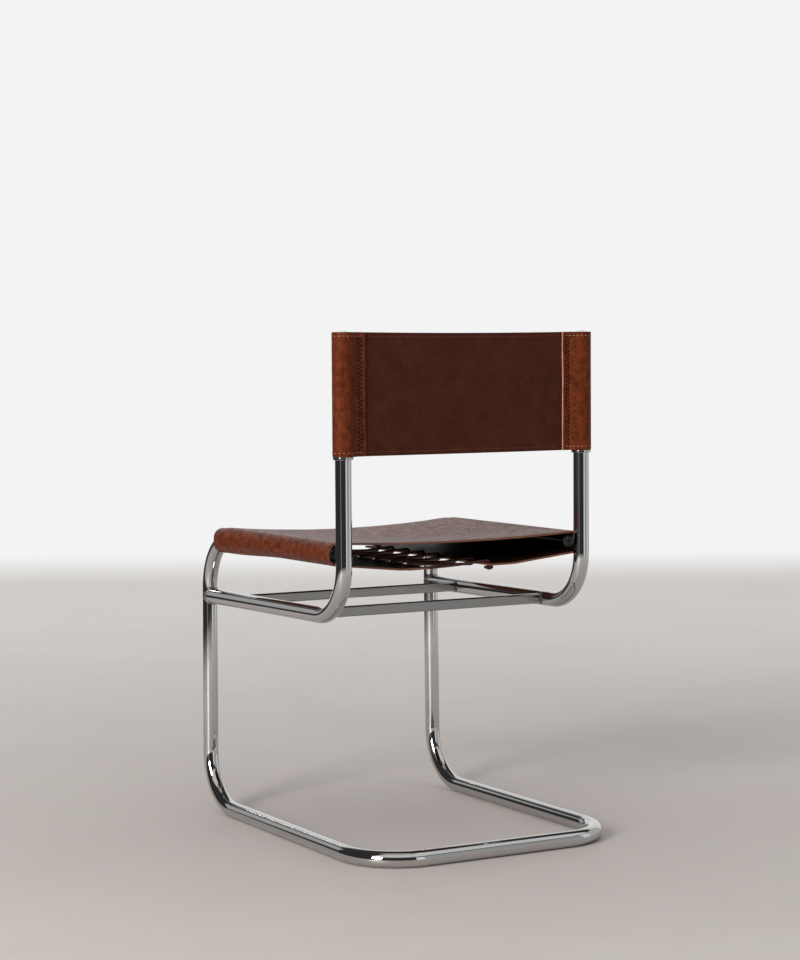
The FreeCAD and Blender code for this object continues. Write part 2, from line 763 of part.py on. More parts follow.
def lace_route():
    """From the knot on the first flap to the knot under the last: over, down through and back."""
    radius = size("lace_diameter") / 2
    foot = value(FLAP_FOOT)
    low = foot - size("lace_lift") - radius
    high = foot + size("leather_thickness") + size("lace_lift") + radius
    spots = eyelet_spots()
    rest = size("leather_clearance")
    first, last = spots[0], spots[-1]
    points = [Vector(*first, foot + size("leather_thickness") + rest)]
    points.append(Vector(*first, low))
    for across, along in spots[1:]:
        points.append(Vector(across, along, high))
        points.append(Vector(across, along, low))
    points[-1] = Vector(*last, foot - rest)
    return points


def rounded_wire(points, radius):
    """Straight runs joined by tangent arcs in space."""
    edges = []
    start = points[0]
    for before, corner, after in zip(points, points[1:], points[2:]):
        enter, leave, centre = bend_between(before, corner, after, radius)
        middle = centre + (corner - centre).normalize() * radius
        edges.append(Part.LineSegment(start, enter).toShape())
        edges.append(Part.Arc(enter, middle, leave).toShape())
        start = leave
    edges.append(Part.LineSegment(start, points[-1]).toShape())
    return Part.Wire(edges)


def build_lacing():
    points = lace_route()
    radius = size("lace_diameter") / 2
    half_drop = size("leather_thickness") / 2 + size("lace_lift") + radius
    path = rounded_wire(points, half_drop * size("lace_turn_share"))
    section = Part.Wire(Part.makeCircle(radius, points[0], (points[1] - points[0]).normalize()))
    piece = doc.addObject("Part::Feature", "seat_lacing")
    piece.Shape = path.makePipeShell([section], True, False)
    finish(piece, "seat_lacing")
    share = piece.Shape.Volume / (math.pi * radius ** 2 * path.Length)
    print("lace length %.0f mm, volume over section times length %.4f" % (path.Length, share))

    flat_radius = radius + size("eyelet_clearance") + size("knot_grip")
    knot_radius = radius + size("knot_wall")
    flat_depth = math.sqrt(knot_radius ** 2 - flat_radius ** 2)
    knots = []
    for name, point, way, turn in (("upper_knot", points[0], 1, 0), ("lower_knot", points[-1], -1, 180)):
        knot = doc.addObject("Part::Sphere", name)
        knot.setExpression("Radius", "Sizes.lace_diameter / 2 + Sizes.knot_wall")
        knot.Angle1 = -math.degrees(math.asin(flat_depth / knot_radius))
        centre = point + Vector(0, 0, way * flat_depth)
        knot.Placement = FreeCAD.Placement(centre, FreeCAD.Rotation(Vector(1, 0, 0), turn))
        knots.append(knot)
    group("lacing_knots", knots)


build_base_frame()
leg_room = {side: on_leg("leg_room_" + side, sign, "Sizes.joint_gap") for side, sign in SIDES}
rail_room = {side: on_low_rail("rail_room_" + side, sign, "Sizes.joint_gap") for side, sign in SIDES}
for side, sign in SIDES:
    build_back_tube(side, sign)
build_cross_bar("front_cross_bar", FRONT_BAR)
build_cross_bar("rear_cross_bar", REAR_BAR)
build_welds()
build_caps()
for side, sign in SIDES:
    build_collar(side, sign)
build_back_leather()
build_edge_threads()
for side, sign in SIDES:
    build_seam_thread(side, sign)
build_seat_leather()
build_lacing()
doc.recompute()

for item in doc.Objects:
    if "Invalid" in item.State or "Error" in item.State:
        raise RuntimeError(item.Label + " failed: " + ", ".join(item.State))
for name, item in nodes.items():
    if item.Shape.isNull() or not item.Shape.isValid() or not item.Shape.Solids:
        raise RuntimeError(name + " has no sound solid")

os.makedirs("parts", exist_ok=True)
for name, item in nodes.items():
    item.Shape.exportStep("parts/" + name + ".step")
    box = item.Shape.BoundBox
    print("%-26s %3d solids %9.0f mm3  x %7.1f %7.1f  y %7.1f %7.1f  z %6.1f %6.1f" % (
        name, len(item.Shape.Solids), item.Shape.Volume,
        box.XMin, box.XMax, box.YMin, box.YMax, box.ZMin, box.ZMax))
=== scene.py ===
import json
import math

import bmesh
import bpy
from bpy.props import FloatProperty, FloatVectorProperty, IntProperty, PointerProperty
from mathutils import Matrix, Vector, noise

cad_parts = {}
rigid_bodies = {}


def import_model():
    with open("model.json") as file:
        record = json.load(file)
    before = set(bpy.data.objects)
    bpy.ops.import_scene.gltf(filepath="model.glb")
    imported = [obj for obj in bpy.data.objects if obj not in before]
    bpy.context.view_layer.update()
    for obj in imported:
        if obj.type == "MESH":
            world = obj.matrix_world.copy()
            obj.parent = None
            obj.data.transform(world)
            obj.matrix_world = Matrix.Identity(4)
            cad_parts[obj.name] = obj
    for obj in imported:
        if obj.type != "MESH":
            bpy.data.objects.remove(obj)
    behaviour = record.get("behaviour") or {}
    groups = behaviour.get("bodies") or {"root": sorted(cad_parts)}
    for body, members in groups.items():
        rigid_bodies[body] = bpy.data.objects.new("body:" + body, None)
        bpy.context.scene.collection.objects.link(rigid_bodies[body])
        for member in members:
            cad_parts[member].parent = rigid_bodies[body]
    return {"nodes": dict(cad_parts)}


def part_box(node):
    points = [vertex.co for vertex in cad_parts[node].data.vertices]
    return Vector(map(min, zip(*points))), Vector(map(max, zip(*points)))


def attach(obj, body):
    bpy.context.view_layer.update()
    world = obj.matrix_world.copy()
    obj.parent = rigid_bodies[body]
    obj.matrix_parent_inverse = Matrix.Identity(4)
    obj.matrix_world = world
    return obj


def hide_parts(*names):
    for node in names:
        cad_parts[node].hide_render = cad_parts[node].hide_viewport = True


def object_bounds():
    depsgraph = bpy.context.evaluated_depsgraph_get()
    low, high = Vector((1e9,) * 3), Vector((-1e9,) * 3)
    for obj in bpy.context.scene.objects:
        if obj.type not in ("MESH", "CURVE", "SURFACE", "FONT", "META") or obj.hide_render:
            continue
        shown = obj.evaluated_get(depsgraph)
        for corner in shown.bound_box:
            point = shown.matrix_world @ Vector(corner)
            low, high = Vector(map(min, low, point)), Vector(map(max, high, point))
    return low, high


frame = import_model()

bl_info = {
    "name": "Cantilever Chair",
    "version": (1, 0, 0),
    "blender": (4, 5, 0),
    "location": "3D View > Sidebar > Chair",
    "description": "Chromed tube, a laced leather seat and a sewn leather back, with a studio round them",
    "category": "Object",
}

BODY = "root"
WHOLE_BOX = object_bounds()
SIDES = (("left", 1), ("right", -1))

# Places and sizes that the frame settles, in metres
POST_LOW, POST_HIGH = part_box("back_post_cap_left")
RAIL_LOW, RAIL_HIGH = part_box("seat_rail_cap_left")
BACK_LOW, BACK_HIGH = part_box("backrest_leather")
SEAT_LOW, SEAT_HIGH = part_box("seat_leather")
TUBE_RADIUS = (POST_HIGH.x - POST_LOW.x) / 2
HALF_SEAT = (POST_HIGH.x + POST_LOW.x) / 2
UPRIGHT_Y = (POST_HIGH.y + POST_LOW.y) / 2
RAIL_Z = (RAIL_HIGH.z + RAIL_LOW.z) / 2
LEG_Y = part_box("base_frame_tube")[0].y + TUBE_RADIUS
SEAT_LENGTH = SEAT_HIGH.y - SEAT_LOW.y
BACK_HEIGHT = BACK_HIGH.z - BACK_LOW.z


# Settings that a user would change

def number(name, default, description, **more):
    return FloatProperty(name=name, description=description, default=default, **more)


def length(name, default, description):
    return number(name, default, description, unit="LENGTH", precision=4)


def angle(name, degrees, description):
    return number(name, math.radians(degrees), description, unit="ROTATION")


def lengths(name, default, description, **more):
    return FloatVectorProperty(
        name=name, description=description, default=default, size=len(default), unit="LENGTH",
        precision=4, **more)


def colour(name, default, description):
    return FloatVectorProperty(
        name=name, description=description, default=default, subtype="COLOR", min=0, max=1)


class ChairViewSettings(bpy.types.PropertyGroup):
    spot: lengths(
        "Camera place", (1.8398, 3.2410, 0.7615), "Where the camera stands", subtype="TRANSLATION")
    heading: angle("Heading", 150.52, "Turn about the upright axis from looking along +Y")
    pitch: angle("Pitch", -3.157, "Look up or down")
    roll: angle("Roll", -0.367, "Tilt of the picture about the line of sight")
    lens: number("Focal length", 87.45, "For a 36 mm long side", unit="CAMERA")


class ChairStageSettings(bpy.types.PropertyGroup):
    # Floor near and far: the floor's grey is painted darker near the chair and paler farther out, a painted
    # fall of light
    floor_near: colour("Floor, near", (0.450, 0.404, 0.378), "Warm grey of the trowelled floor")
    floor_far: colour("Floor, far", (0.830, 0.795, 0.755), "The floor towards the backdrop")
    wall_colour: colour("Wall", (0.900, 0.900, 0.900), "Pale backdrop")
    floor_reach: length("Floor reach", 6.0, "Half the side of the square floor")
    wall_start: length("Wall starts", 3.75, "Where the floor begins to turn pale")
    wall_full: length("Wall full", 5.2, "Where the floor is as pale as the wall")
    mirror_start: length("Mirrored floor fades", 1.5, "Where reflections begin to show the cards")
    mirror_end: length("Mirrored floor ends", 3.1, "Where reflections show only the cards")
    sky_low: number("Room light, level", 0.30, "What dull surfaces get from the horizon")
    sky_high: number("Room light, top", 1.0, "What dull surfaces get from above")
    key_power: number("Key power", 560, "Of the large soft lamp on the left", unit="POWER")
    key_width: length("Key width", 2.3, "Of the soft lamp")
    key_tall: length("Key height", 3.4, "Of the soft lamp")
    key_distance: length("Key distance", 8.0, "From the chair's middle")
    key_azimuth: angle("Key azimuth", 25.5, "Counted from +X")
    key_height: angle("Key elevation", 20, "Above the horizon")


class ChairMetalSettings(bpy.types.PropertyGroup):
    chrome: colour("Chrome", (0.56, 0.56, 0.555), "Reflection of the plating")
    steel: colour("Bars", (0.36, 0.36, 0.355), "Reflection of the flat bars")
    smudge_scale: number("Smudge scale", 22, "Patches of handling marks per metre")


class ChairLeatherSettings(bpy.types.PropertyGroup):
    thickness: length("Thickness", 0.0032, "Of both hides")
    clearance: length("Clearance", 0.0003, "Between the leather and the tube that it goes round")
    edge_round: length("Edge round", 0.0006, "Radius of the dressed edges")
    grain_light: colour("Grain, light", (0.170, 0.035, 0.0108), "Worn parts of the smooth side")
    grain_dark: colour("Grain, dark", (0.060, 0.0115, 0.004), "Deep parts of the smooth side")
    flesh_light: colour("Flesh, light", (0.056, 0.0148, 0.0088), "Light blotches of the inner side")
    flesh_dark: colour("Flesh, dark", (0.034, 0.0083, 0.0052), "Dark blotches of the inner side")
    raw_edge: colour("Cut edge", (0.56, 0.28, 0.20), "Pale cut edge of the sewn flaps")
    dressed_edge: colour("Dressed edge", (0.17, 0.06, 0.03), "Burnished edges")
    waviness: length("Waviness", 0.0006, "How far the hides leave their plain form")


class ChairSeatSettings(bpy.types.PropertyGroup):
    bend_reach: length("Bend end", 0.088, "Where the seat rails run level, behind the front legs")
    middle_inset: length("Middle", 0.161, "From the rear edge to the section with the deepest sag")
    sags: lengths(
        "Sags", (0.010, 0.010, 0.012, 0.0055), "Of the front edge, the bend, the middle and the rear edge")
    slacks: lengths(
        "Slacks", (0.0109, 0.010, 0.004, 0.0035), "How far the rolls hang under the rails, front to rear")
    front_dip: length("Front dip", 0.0025, "How far the front edge follows the bend down")
    flap_level: length("Flap level", 0.095, "Half width at which the flaps are level")
    flap_turn: length("Flap turn", 0.100, "Radius of the bend into the flaps")
    flap_edge: length("Flap edge", 0.055, "Half width of the gap between the flaps")


class ChairBackSettings(bpy.types.PropertyGroup):
    bow: length("Bow", 0.0055, "How far the middle stands behind the uprights' plane")
    join_inset: length("Join", 0.026, "From the upright's middle to where the two layers part")
    flap_width: length("Flap", 0.0105, "Sewn width of each end of the strip")
    # Painted highlight: a band this wide along each flap's end takes the edge colour, where the rim catches
    # the light
    highlight_line_width: length("Skived edge", 0.0009, "Bare line along the flap's end")
    turn: length("Turn", 0.008, "Radius where a layer leaves the seam")
    top_dip: length("Top dip", 0.0014, "How far the top edge sags between the uprights")
    nick_height: length("Nick height", 0.742, "Of the small nick in the left flap's edge")
    nick_depth: length("Nick depth", 0.0022, "How far it cuts in")
    nick_width: length("Nick width", 0.0025, "Half of its height along the edge")


class ChairSewingSettings(bpy.types.PropertyGroup):
    thread: length("Thread", 0.0009, "Diameter of the waxed thread")
    pitch: length("Pitch", 0.0063, "From stitch to stitch")
    stitch: length("Stitch", 0.0038, "Length of thread that shows")
    inset: length("Inset", 0.006, "From the edge of the leather")
    seam_width: length("Seam width", 0.0042, "Of the zigzag seam")
    seam_inset: length("Seam inset", 0.028, "From the upright's middle to the seam")
    # Size of the dark bead of painted shade in each needle hole
    hole: length("Needle hole", 0.0027, "Across each hole of the zigzag seams")
    thread_light: colour("Thread, light", (0.58, 0.33, 0.22), "Tan of the thread")
    # Tone of the thread's creases: painted shade in its twist
    thread_crease_shade: colour("Thread, dark", (0.26, 0.125, 0.075), "Soiled thread")
    # The thread on the panel and the seam thread are darker copies of the tan thread: painted shade on the
    # panel and in the seams
    panel_thread: colour("Thread on the panel", (0.16, 0.065, 0.038), "Sunk and dark with wax")
    seam_thread: colour("Seam thread", (0.075, 0.026, 0.013), "Brown thread of the zigzags")
    # Nearly black beads in the needle holes: painted shade
    hole_shade_colour: colour("Needle holes", (0.006, 0.004, 0.003), "Nearly black")


class ChairLaceSettings(bpy.types.PropertyGroup):
    diameter: length("Diameter", 0.0045, "Of the round lace")
    lift: length("Lift", 0.001, "Between the lace and the flap that it crosses")
    eyelets: IntProperty(name="Eyelets", description="On both flaps together", default=15, min=3)
    eyelet_clearance: length("Eyelet clearance", 0.0005, "Round the lace")
    edge_margin: length("Edge margin", 0.012, "From a flap's edge to its eyelets")
    front_margin: length("Front margin", 0.027, "From the front edge to the first eyelet")
    rear_margin: length("Rear margin", 0.018, "From the rear edge to the last eyelet")
    sag: length("Sag", 0.0018, "Of each run across the gap")
    # Light is the lace's own colour; dark is painted shade in its creases
    light: colour("Lace, light", (0.060, 0.021, 0.011), "Rubbed lace")
    dark: colour("Lace, dark", (0.016, 0.006, 0.004), "Lace in its creases")


# Small helpers for objects

def select(*pieces):
    """Leave only these pieces selected, with the first one active."""
    for item in bpy.context.view_layer.objects:
        item.select_set(item in pieces)
    if pieces:
        bpy.context.view_layer.objects.active = pieces[0]


def add_object(name, data):
    piece = bpy.data.objects.new(name, data)
    bpy.context.scene.collection.objects.link(piece)
    return piece


def apply_modifier(piece, kind, **settings):
    select(piece)
    modifier = piece.modifiers.new(kind.title(), kind)
    for name, value in settings.items():
        setattr(modifier, name, value)
    bpy.ops.object.modifier_apply(modifier=modifier.name)


def edit_all():
    """Enter edit mode on the active mesh, with all of it selected."""
    bpy.ops.object.mode_set(mode="EDIT")
    bpy.ops.mesh.select_all(action="SELECT")


def join_pieces(name, pieces):
    select(*pieces)
    bpy.ops.object.join()
    bpy.context.object.name = name
    return bpy.context.object


def lay_grid(name, rows):
    """A sheet of quads through rows of points."""
    across = len(rows[0])
    corners = [row * across + column for row in range(len(rows) - 1) for column in range(across - 1)]
    faces = [(corner, corner + 1, corner + across + 1, corner + across) for corner in corners]
    mesh = bpy.data.meshes.new(name)
    mesh.from_pydata([tuple(point) for row in rows for point in row], [], faces)
    mesh.update()
    return add_object(name, mesh)


def smooth_by_angle(piece, degrees):
    select(piece)
    bpy.ops.object.shade_smooth_by_angle(angle=math.radians(degrees))


def settle(piece, slot, node, *materials):
    """The piece takes its materials and joins the body, and stands for a CAD node, which it hides. The slot
    is not used.
    """
    for material in materials:
        piece.data.materials.append(material)
    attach(piece, BODY)
    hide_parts(node)


def finish_nodes(material, *names):
    """CAD nodes keep their shape and take a finished material."""
    for name in names:
        node = frame["nodes"][name]
        for slot in node.material_slots:
            slot.material = material


# Helpers for shader nodes

FLOAT, VECTOR = "NodeSocketFloat", "NodeSocketVector"
NODE_SPACING = 180


class Shader:
    """A node tree filled by short calls. Underscores in the names of sockets stand for spaces.

    Patterns read its place, and a material's Principled BSDF is its surface."""

    def __init__(self, tree):
        self.tree = tree
        self.place = self.surface = self.output = None

    def add(self, kind, settings=None, **inputs):
        made = self.tree.nodes.new(kind)
        made.location = (NODE_SPACING * len(self.tree.nodes), 0)
        for name, value in (settings or {}).items():
            setattr(made, name, value)
        return self.set(made, **inputs)

    def set(self, node, **inputs):
        for name, value in inputs.items():
            self.feed(node.inputs[name.replace("_", " ")], value)
        return node

    def feed(self, target, value):
        if isinstance(value, bpy.types.NodeSocket):
            self.tree.links.new(value, target)
        else:
            target.default_value = (*value, 1) if target.type == "RGBA" else value

    def math(self, operation, *values):
        made = self.add("ShaderNodeMath", {"operation": operation})
        for target, value in zip(made.inputs, values):
            self.feed(target, value)
        return made.outputs[0]

    def product(self, first, second):
        return self.math("MULTIPLY", first, second)

    def gap(self, first, second):
        """How far two values are apart."""
        return self.math("ABSOLUTE", self.math("SUBTRACT", first, second))

    def ramp(self, value, low, high, to_low=0.0, to_high=1.0):
        """A value carried smoothly from one range to another and held at its ends."""
        made = self.add(
            "ShaderNodeMapRange", {"interpolation_type": "SMOOTHSTEP"}, Value=value,
            From_Min=low, From_Max=high, To_Min=to_low, To_Max=to_high)
        return made.outputs["Result"]

    def blend(self, factor, first, second, way="MIX"):
        made = self.add("ShaderNodeMix", {"data_type": "RGBA", "blend_type": way})
        for index, value in ((0, factor), (6, first), (7, second)):
            self.feed(made.inputs[index], value)
        return made.outputs[2]

    def mix(self, factor, first, second):
        """One shader passing into another."""
        made = self.add("ShaderNodeMixShader", Fac=factor)
        self.feed(made.inputs[1], first)
        self.feed(made.inputs[2], second)
        return made.outputs["Shader"]

    def noise(self, scale, detail=2.0, roughness=0.5, distortion=0.0, place=None):
        made = self.add(
            "ShaderNodeTexNoise", Vector=place or self.place, Scale=scale, Detail=detail,
            Roughness=roughness, Distortion=distortion)
        return made.outputs["Fac"]

    def group(self, name, **inputs):
        """The outputs of a shared node group, which is built when it is first asked for."""
        tree = bpy.data.node_groups.get(name) or GROUP_BUILDERS[name](name)
        if self.place:
            inputs["Vector"] = self.place
        return self.add("ShaderNodeGroup", {"node_tree": tree}, **inputs).outputs

    def bump(self, height, strength, distance):
        made = self.add("ShaderNodeBump", Height=height, Strength=strength, Distance=distance)
        self.set(self.surface, Normal=made.outputs["Normal"])

    def wear(self, mask, tones, roughness, **more):
        """Two tones and two roughnesses that one mask mixes."""
        self.set(
            self.surface, Base_Color=self.blend(mask, *tones),
            Roughness=self.ramp(mask, 0.0, 1.0, *roughness), **more)


def dimmed(tone, part):
    return tuple(min(channel * part, 1) for channel in tone)


def new_group(name, outputs, vector=True, **numbers):
    """A node group with named sockets: its Shader, its inputs and its output node."""
    tree = bpy.data.node_groups.new(name, "ShaderNodeTree")
    add_socket = tree.interface.new_socket
    if vector:
        add_socket(name="Vector", in_out="INPUT", socket_type=VECTOR)
    for label, value in numbers.items():
        made = add_socket(name=label.replace("_", " "), in_out="INPUT", socket_type=FLOAT)
        made.default_value = value
    for label in outputs:
        add_socket(name=label, in_out="OUTPUT", socket_type=FLOAT)
    shader = Shader(tree)
    given = shader.add("NodeGroupInput").outputs
    if vector:
        shader.place = given["Vector"]
    return shader, given, shader.add("NodeGroupOutput")


def build_blotches(name):
    """Soft blotches in two sizes, as a mask from 0 to 1."""
    shader, given, out = new_group(name, ["Mask"], Scale=10.0, Contrast=0.25)
    large = shader.noise(given["Scale"], 3.0, 0.55, 0.4)
    small = shader.noise(shader.product(given["Scale"], 4.3), 4.0, 0.6)
    mixed = shader.math("MULTIPLY_ADD", small, 0.45, shader.product(large, 0.55))
    low = shader.math("SUBTRACT", 0.5, given["Contrast"])
    high = shader.math("ADD", 0.5, given["Contrast"])
    shader.set(out, Mask=shader.ramp(mixed, low, high))
    return shader.tree


def build_hide_relief(name):
    """Relief of smooth hide: fine pores, creases between pebbles and a few long wrinkles."""
    shader, given, out = new_group(name, ["Height", "Creases"], Pore_Scale=900.0, Crease_Scale=260.0)
    wobble = shader.add("ShaderNodeTexNoise", Vector=shader.place, Scale=120.0, Detail=2.0)
    bent = shader.add("ShaderNodeMix", {"data_type": "VECTOR"})
    for index, value in ((0, 0.012), (4, shader.place), (5, wobble.outputs["Color"])):
        shader.feed(bent.inputs[index], value)
    pebbles = shader.add(
        "ShaderNodeTexVoronoi", {"feature": "DISTANCE_TO_EDGE"},
        Vector=bent.outputs[1], Scale=given["Crease Scale"])
    creases = shader.ramp(pebbles.outputs["Distance"], 0.0, 0.16, 1.0, 0.0)
    pores = shader.noise(given["Pore Scale"], 2.0, 0.6)
    wrinkles = shader.noise(55.0, 3.0, 0.6, 1.2)
    lines = shader.ramp(shader.gap(wrinkles, 0.5), 0.0, 0.03, 1.0, 0.0)
    height = shader.math("MULTIPLY_ADD", creases, -0.5, shader.product(pores, 0.45))
    shader.set(out, Height=shader.math("MULTIPLY_ADD", lines, -0.35, height), Creases=creases)
    return shader.tree


def build_nap(name):
    """Relief of the fibrous inner side of hide, and a mask of its raised fibres."""
    shader, given, out = new_group(name, ["Height", "Fibres"], Scale=500.0)
    fibres = shader.noise(given["Scale"], 5.0, 0.7, 0.8)
    tufts = shader.noise(shader.product(given["Scale"], 0.22), 3.0)
    shader.set(
        out, Height=shader.math("MULTIPLY_ADD", tufts, 0.6, fibres), Fibres=shader.ramp(fibres, 0.42, 0.66))
    return shader.tree


def build_smudges(name):
    """Handling marks and fine dust on plated metal, as a mask, with a faint wave."""
    shader, given, out = new_group(name, ["Mask", "Wave"], Scale=22.0)
    patches = shader.noise(given["Scale"], 5.0, 0.65, 0.6)
    dust = shader.ramp(shader.noise(1400.0, 1.0), 0.70, 0.78)
    mask = shader.math("MULTIPLY_ADD", dust, 0.5, shader.ramp(patches, 0.52, 0.75))
    shader.set(out, Mask=shader.math("MINIMUM", mask, 1.0), Wave=shader.noise(16.0))
    return shader.tree


def build_scratches(name):
    """A few thin curved scuffs, broken into short lengths, as a mask."""
    shader, given, out = new_group(name, ["Mask"], Scale=60.0)
    curls = shader.noise(given["Scale"], 2.0, 0.5, 1.8)
    thin = shader.ramp(shader.gap(curls, 0.5), 0.0, 0.018, 1.0, 0.0)
    where = shader.noise(shader.product(given["Scale"], 1.7))
    shader.set(out, Mask=shader.product(thin, shader.ramp(where, 0.50, 0.62)))
    return shader.tree


def build_card(name):
    """How much a soft-edged card of the studio shows in a direction, in degrees."""
    shader, given, out = new_group(
        name, ["Light"], vector=False, Azimuth=0.0, Elevation=0.0, Card_Azimuth=0.0, Half_Width=0.0,
        Card_Elevation=0.0, Half_Height=0.0, Glow=0.0)
    apart = shader.math("SUBTRACT", given["Azimuth"], given["Card Azimuth"])
    apart = shader.math("ABSOLUTE", shader.math("WRAP", apart, 180.0, -180.0))
    aside = shader.ramp(shader.math("SUBTRACT", apart, given["Half Width"]), -1.5, 1.5, 1.0, 0.0)
    above = shader.gap(given["Elevation"], given["Card Elevation"])
    upright = shader.ramp(shader.math("SUBTRACT", above, given["Half Height"]), -3.0, 3.0, 1.0, 0.0)
    shader.set(out, Light=shader.product(shader.product(aside, upright), given["Glow"]))
    return shader.tree


GROUP_BUILDERS = {
    "Fine_Scratches": build_scratches,
    "Soft_Blotches": build_blotches,
    "Hide_Relief": build_hide_relief,
    "Hide_Nap": build_nap,
    "Plating_Smudges": build_smudges,
    "Studio_Card": build_card,
}


# Materials

LEATHER_TINT = (1.0, 0.62, 0.45)


def new_material(name):
    """A material and the Shader that fills it."""
    material = bpy.data.materials.new(name)
    material.use_nodes = True
    material.node_tree.nodes.clear()
    shader = Shader(material.node_tree)
    shader.place = shader.add("ShaderNodeTexCoord").outputs["Object"]
    shader.surface = shader.add("ShaderNodeBsdfPrincipled")
    shader.output = shader.add("ShaderNodeOutputMaterial", Surface=shader.surface.outputs["BSDF"])
    return material, shader


def chrome_material(metal):
    material, shader = new_material("polished_chrome")
    marks = shader.group("Plating_Smudges", Scale=metal.smudge_scale)
    shader.wear(marks["Mask"], (metal.chrome, dimmed(metal.chrome, 0.93)), (0.035, 0.085), Metallic=1.0)
    shader.bump(marks["Wave"], 0.06, 0.002)
    return material


def bar_material(metal):
    """Duller plating over the fine lines of drawn bar, which run along it."""
    material, shader = new_material("satin_bar_chrome")
    marks = shader.group("Plating_Smudges", Scale=metal.smudge_scale * 1.5)
    shader.wear(marks["Mask"], (metal.steel, dimmed(metal.steel, 0.88)), (0.16, 0.26), Metallic=1.0)
    drawn = shader.add("ShaderNodeMapping", Vector=shader.place, Scale=(6.0, 500.0, 500.0))
    shader.bump(shader.noise(1.0, 3.0, place=drawn.outputs["Vector"]), 0.10, 0.0004)
    return material


def weld_material(metal):
    material, shader = new_material("plated_weld")
    blotches = shader.group("Soft_Blotches", Scale=240.0, Contrast=0.2)
    tones = dimmed(metal.steel, 0.55), dimmed(metal.steel, 0.9)
    shader.wear(blotches["Mask"], tones, (0.42, 0.22), Metallic=1.0)
    shader.bump(shader.noise(650.0), 0.5, 0.0006)
    return material


def collar_material():
    material, shader = new_material("bright_ring")
    marks = shader.group("Plating_Smudges", Scale=90.0)
    shader.wear(marks["Mask"], ((0.50, 0.50, 0.495), (0.36, 0.36, 0.36)), (0.12, 0.3), Metallic=1.0)
    shader.bump(marks["Wave"], 0.1, 0.001)
    return material


def plastic_material(name, light, dark, roughness):
    material, shader = new_material(name)
    blotches = shader.group("Soft_Blotches", Scale=60.0, Contrast=0.25)
    shader.wear(blotches["Mask"], (dark, light), (roughness + 0.1, roughness))
    shader.bump(shader.noise(1800.0), 0.2, 0.0002)
    return material


def strand_material(name, light, dark, roughness, scale=2500.0, shine=0.3):
    """Twisted thread or round lace, with painted shade in its creases."""
    material, shader = new_material(name)
    creases = shader.noise(scale, 3.0, 0.65, 0.6)
    # The dark tone is painted shade in the creases; the light tone is the strand's own colour
    shader.wear(
        shader.ramp(creases, 0.35, 0.62), (dark, light), (roughness + 0.12, roughness),
        Specular_IOR_Level=shine)
    shader.bump(creases, 0.4, 0.0004)
    return material


def grain_material(leather):
    """The smooth side of hide, with painted shade in its creases, and shiny where it is worn."""
    material, shader = new_material("saddle_grain")
    mask = shader.group("Soft_Blotches", Scale=92.0, Contrast=0.16)["Mask"]
    relief = shader.group("Hide_Relief", Pore_Scale=1500.0, Crease_Scale=520.0)
    creases = relief["Creases"]
    tone = shader.blend(mask, leather.grain_dark, leather.grain_light)
    worn = shader.ramp(mask, 0.0, 1.0, 0.36, 0.24)
    # The base colour takes painted shade in the creases, towards a dimmed dark grain
    shader.set(
        shader.surface, Specular_IOR_Level=0.11, Specular_Tint=LEATHER_TINT,
        Base_Color=shader.blend(shader.product(creases, 0.35), tone, dimmed(leather.grain_dark, 0.55)),
        Roughness=shader.math("MULTIPLY_ADD", creases, 0.12, worn))
    shader.bump(relief["Height"], 0.35, 0.0006)
    return material


def shared_grain(leather):
    return bpy.data.materials.get("saddle_grain") or grain_material(leather)


def flesh_material(name, light, dark, roughness):
    """The inner side of hide, with raised fibres and pale scuffs."""
    material, shader = new_material(name)
    mask = shader.group("Soft_Blotches", Scale=38.0, Contrast=0.2)["Mask"]
    nap = shader.group("Hide_Nap", Scale=420.0)
    scuffs = shader.product(shader.group("Fine_Scratches", Scale=62.0)["Mask"], 0.35)
    tone = shader.blend(scuffs, shader.blend(mask, dark, light), dimmed(light, 1.9))
    shader.set(
        shader.surface, Specular_IOR_Level=0.14, Specular_Tint=LEATHER_TINT,
        Base_Color=shader.blend(shader.product(nap["Fibres"], 0.16), tone, dimmed(light, 1.5)),
        Roughness=shader.ramp(mask, 0.0, 1.0, roughness + 0.08, roughness))
    shader.bump(nap["Height"], 0.3, 0.0005)
    return material


def edge_material(name, tone, roughness):
    """The edge of hide, with fine fibres and broad stains."""
    material, shader = new_material(name)
    fibres = shader.noise(700.0, 4.0, 0.7)
    mask = shader.math("MULTIPLY_ADD", fibres, 0.6, shader.product(shader.noise(45.0, 3.0), 0.4))
    shader.set(
        shader.surface, Base_Color=shader.blend(shader.ramp(mask, 0.35, 0.6), dimmed(tone, 0.55), tone),
        Roughness=shader.ramp(fibres, 0.3, 0.7, roughness - 0.08, roughness + 0.08))
    shader.bump(fibres, 0.4, 0.0004)
    return material


# Strips of leather, drawn as a chain of arcs and straight runs

BEND_STEP = math.radians(9)
SEAT_STEP, SEAT_ROW_STEP = 0.005, 0.006
BACK_STEP, BACK_ROW_STEP = 0.004, 0.005
FINE_STEP, FINE_BEND_STEP = 0.0005, math.radians(2)

# How far before its tube or seam a hide starts to lie still, and how far before it lies quite still
CALM_START, SEAT_CALM, BACK_CALM = 0.03, 0.012, 0.008

# The size of the waves in the panels and in the seat's flaps, and the size and reach of those in cuts
SEAT_WAVE, FLAP_WAVE, BACK_WAVE = 0.09, 0.045, 0.11
FLAP_CUT, END_CUT, LOOP_CUT = (0.05, 0.0012), (0.07, 0.0006), (0.06, 0.0010)

# How far from its end a flap waves, and over how many rows the seat's own ends do
SEAT_FLAP_REACH, BACK_FLAP_REACH, END_ROWS = 0.06, 0.008, 4

# Places in the noise, so that no two edges wave alike
FLAP_SEED, FLAP_CUT_SEED, LOOP_CUT_SEED, FRONT_SEED, REAR_SEED = Vector((3, 0, 0)), 7, 11, 5, 9

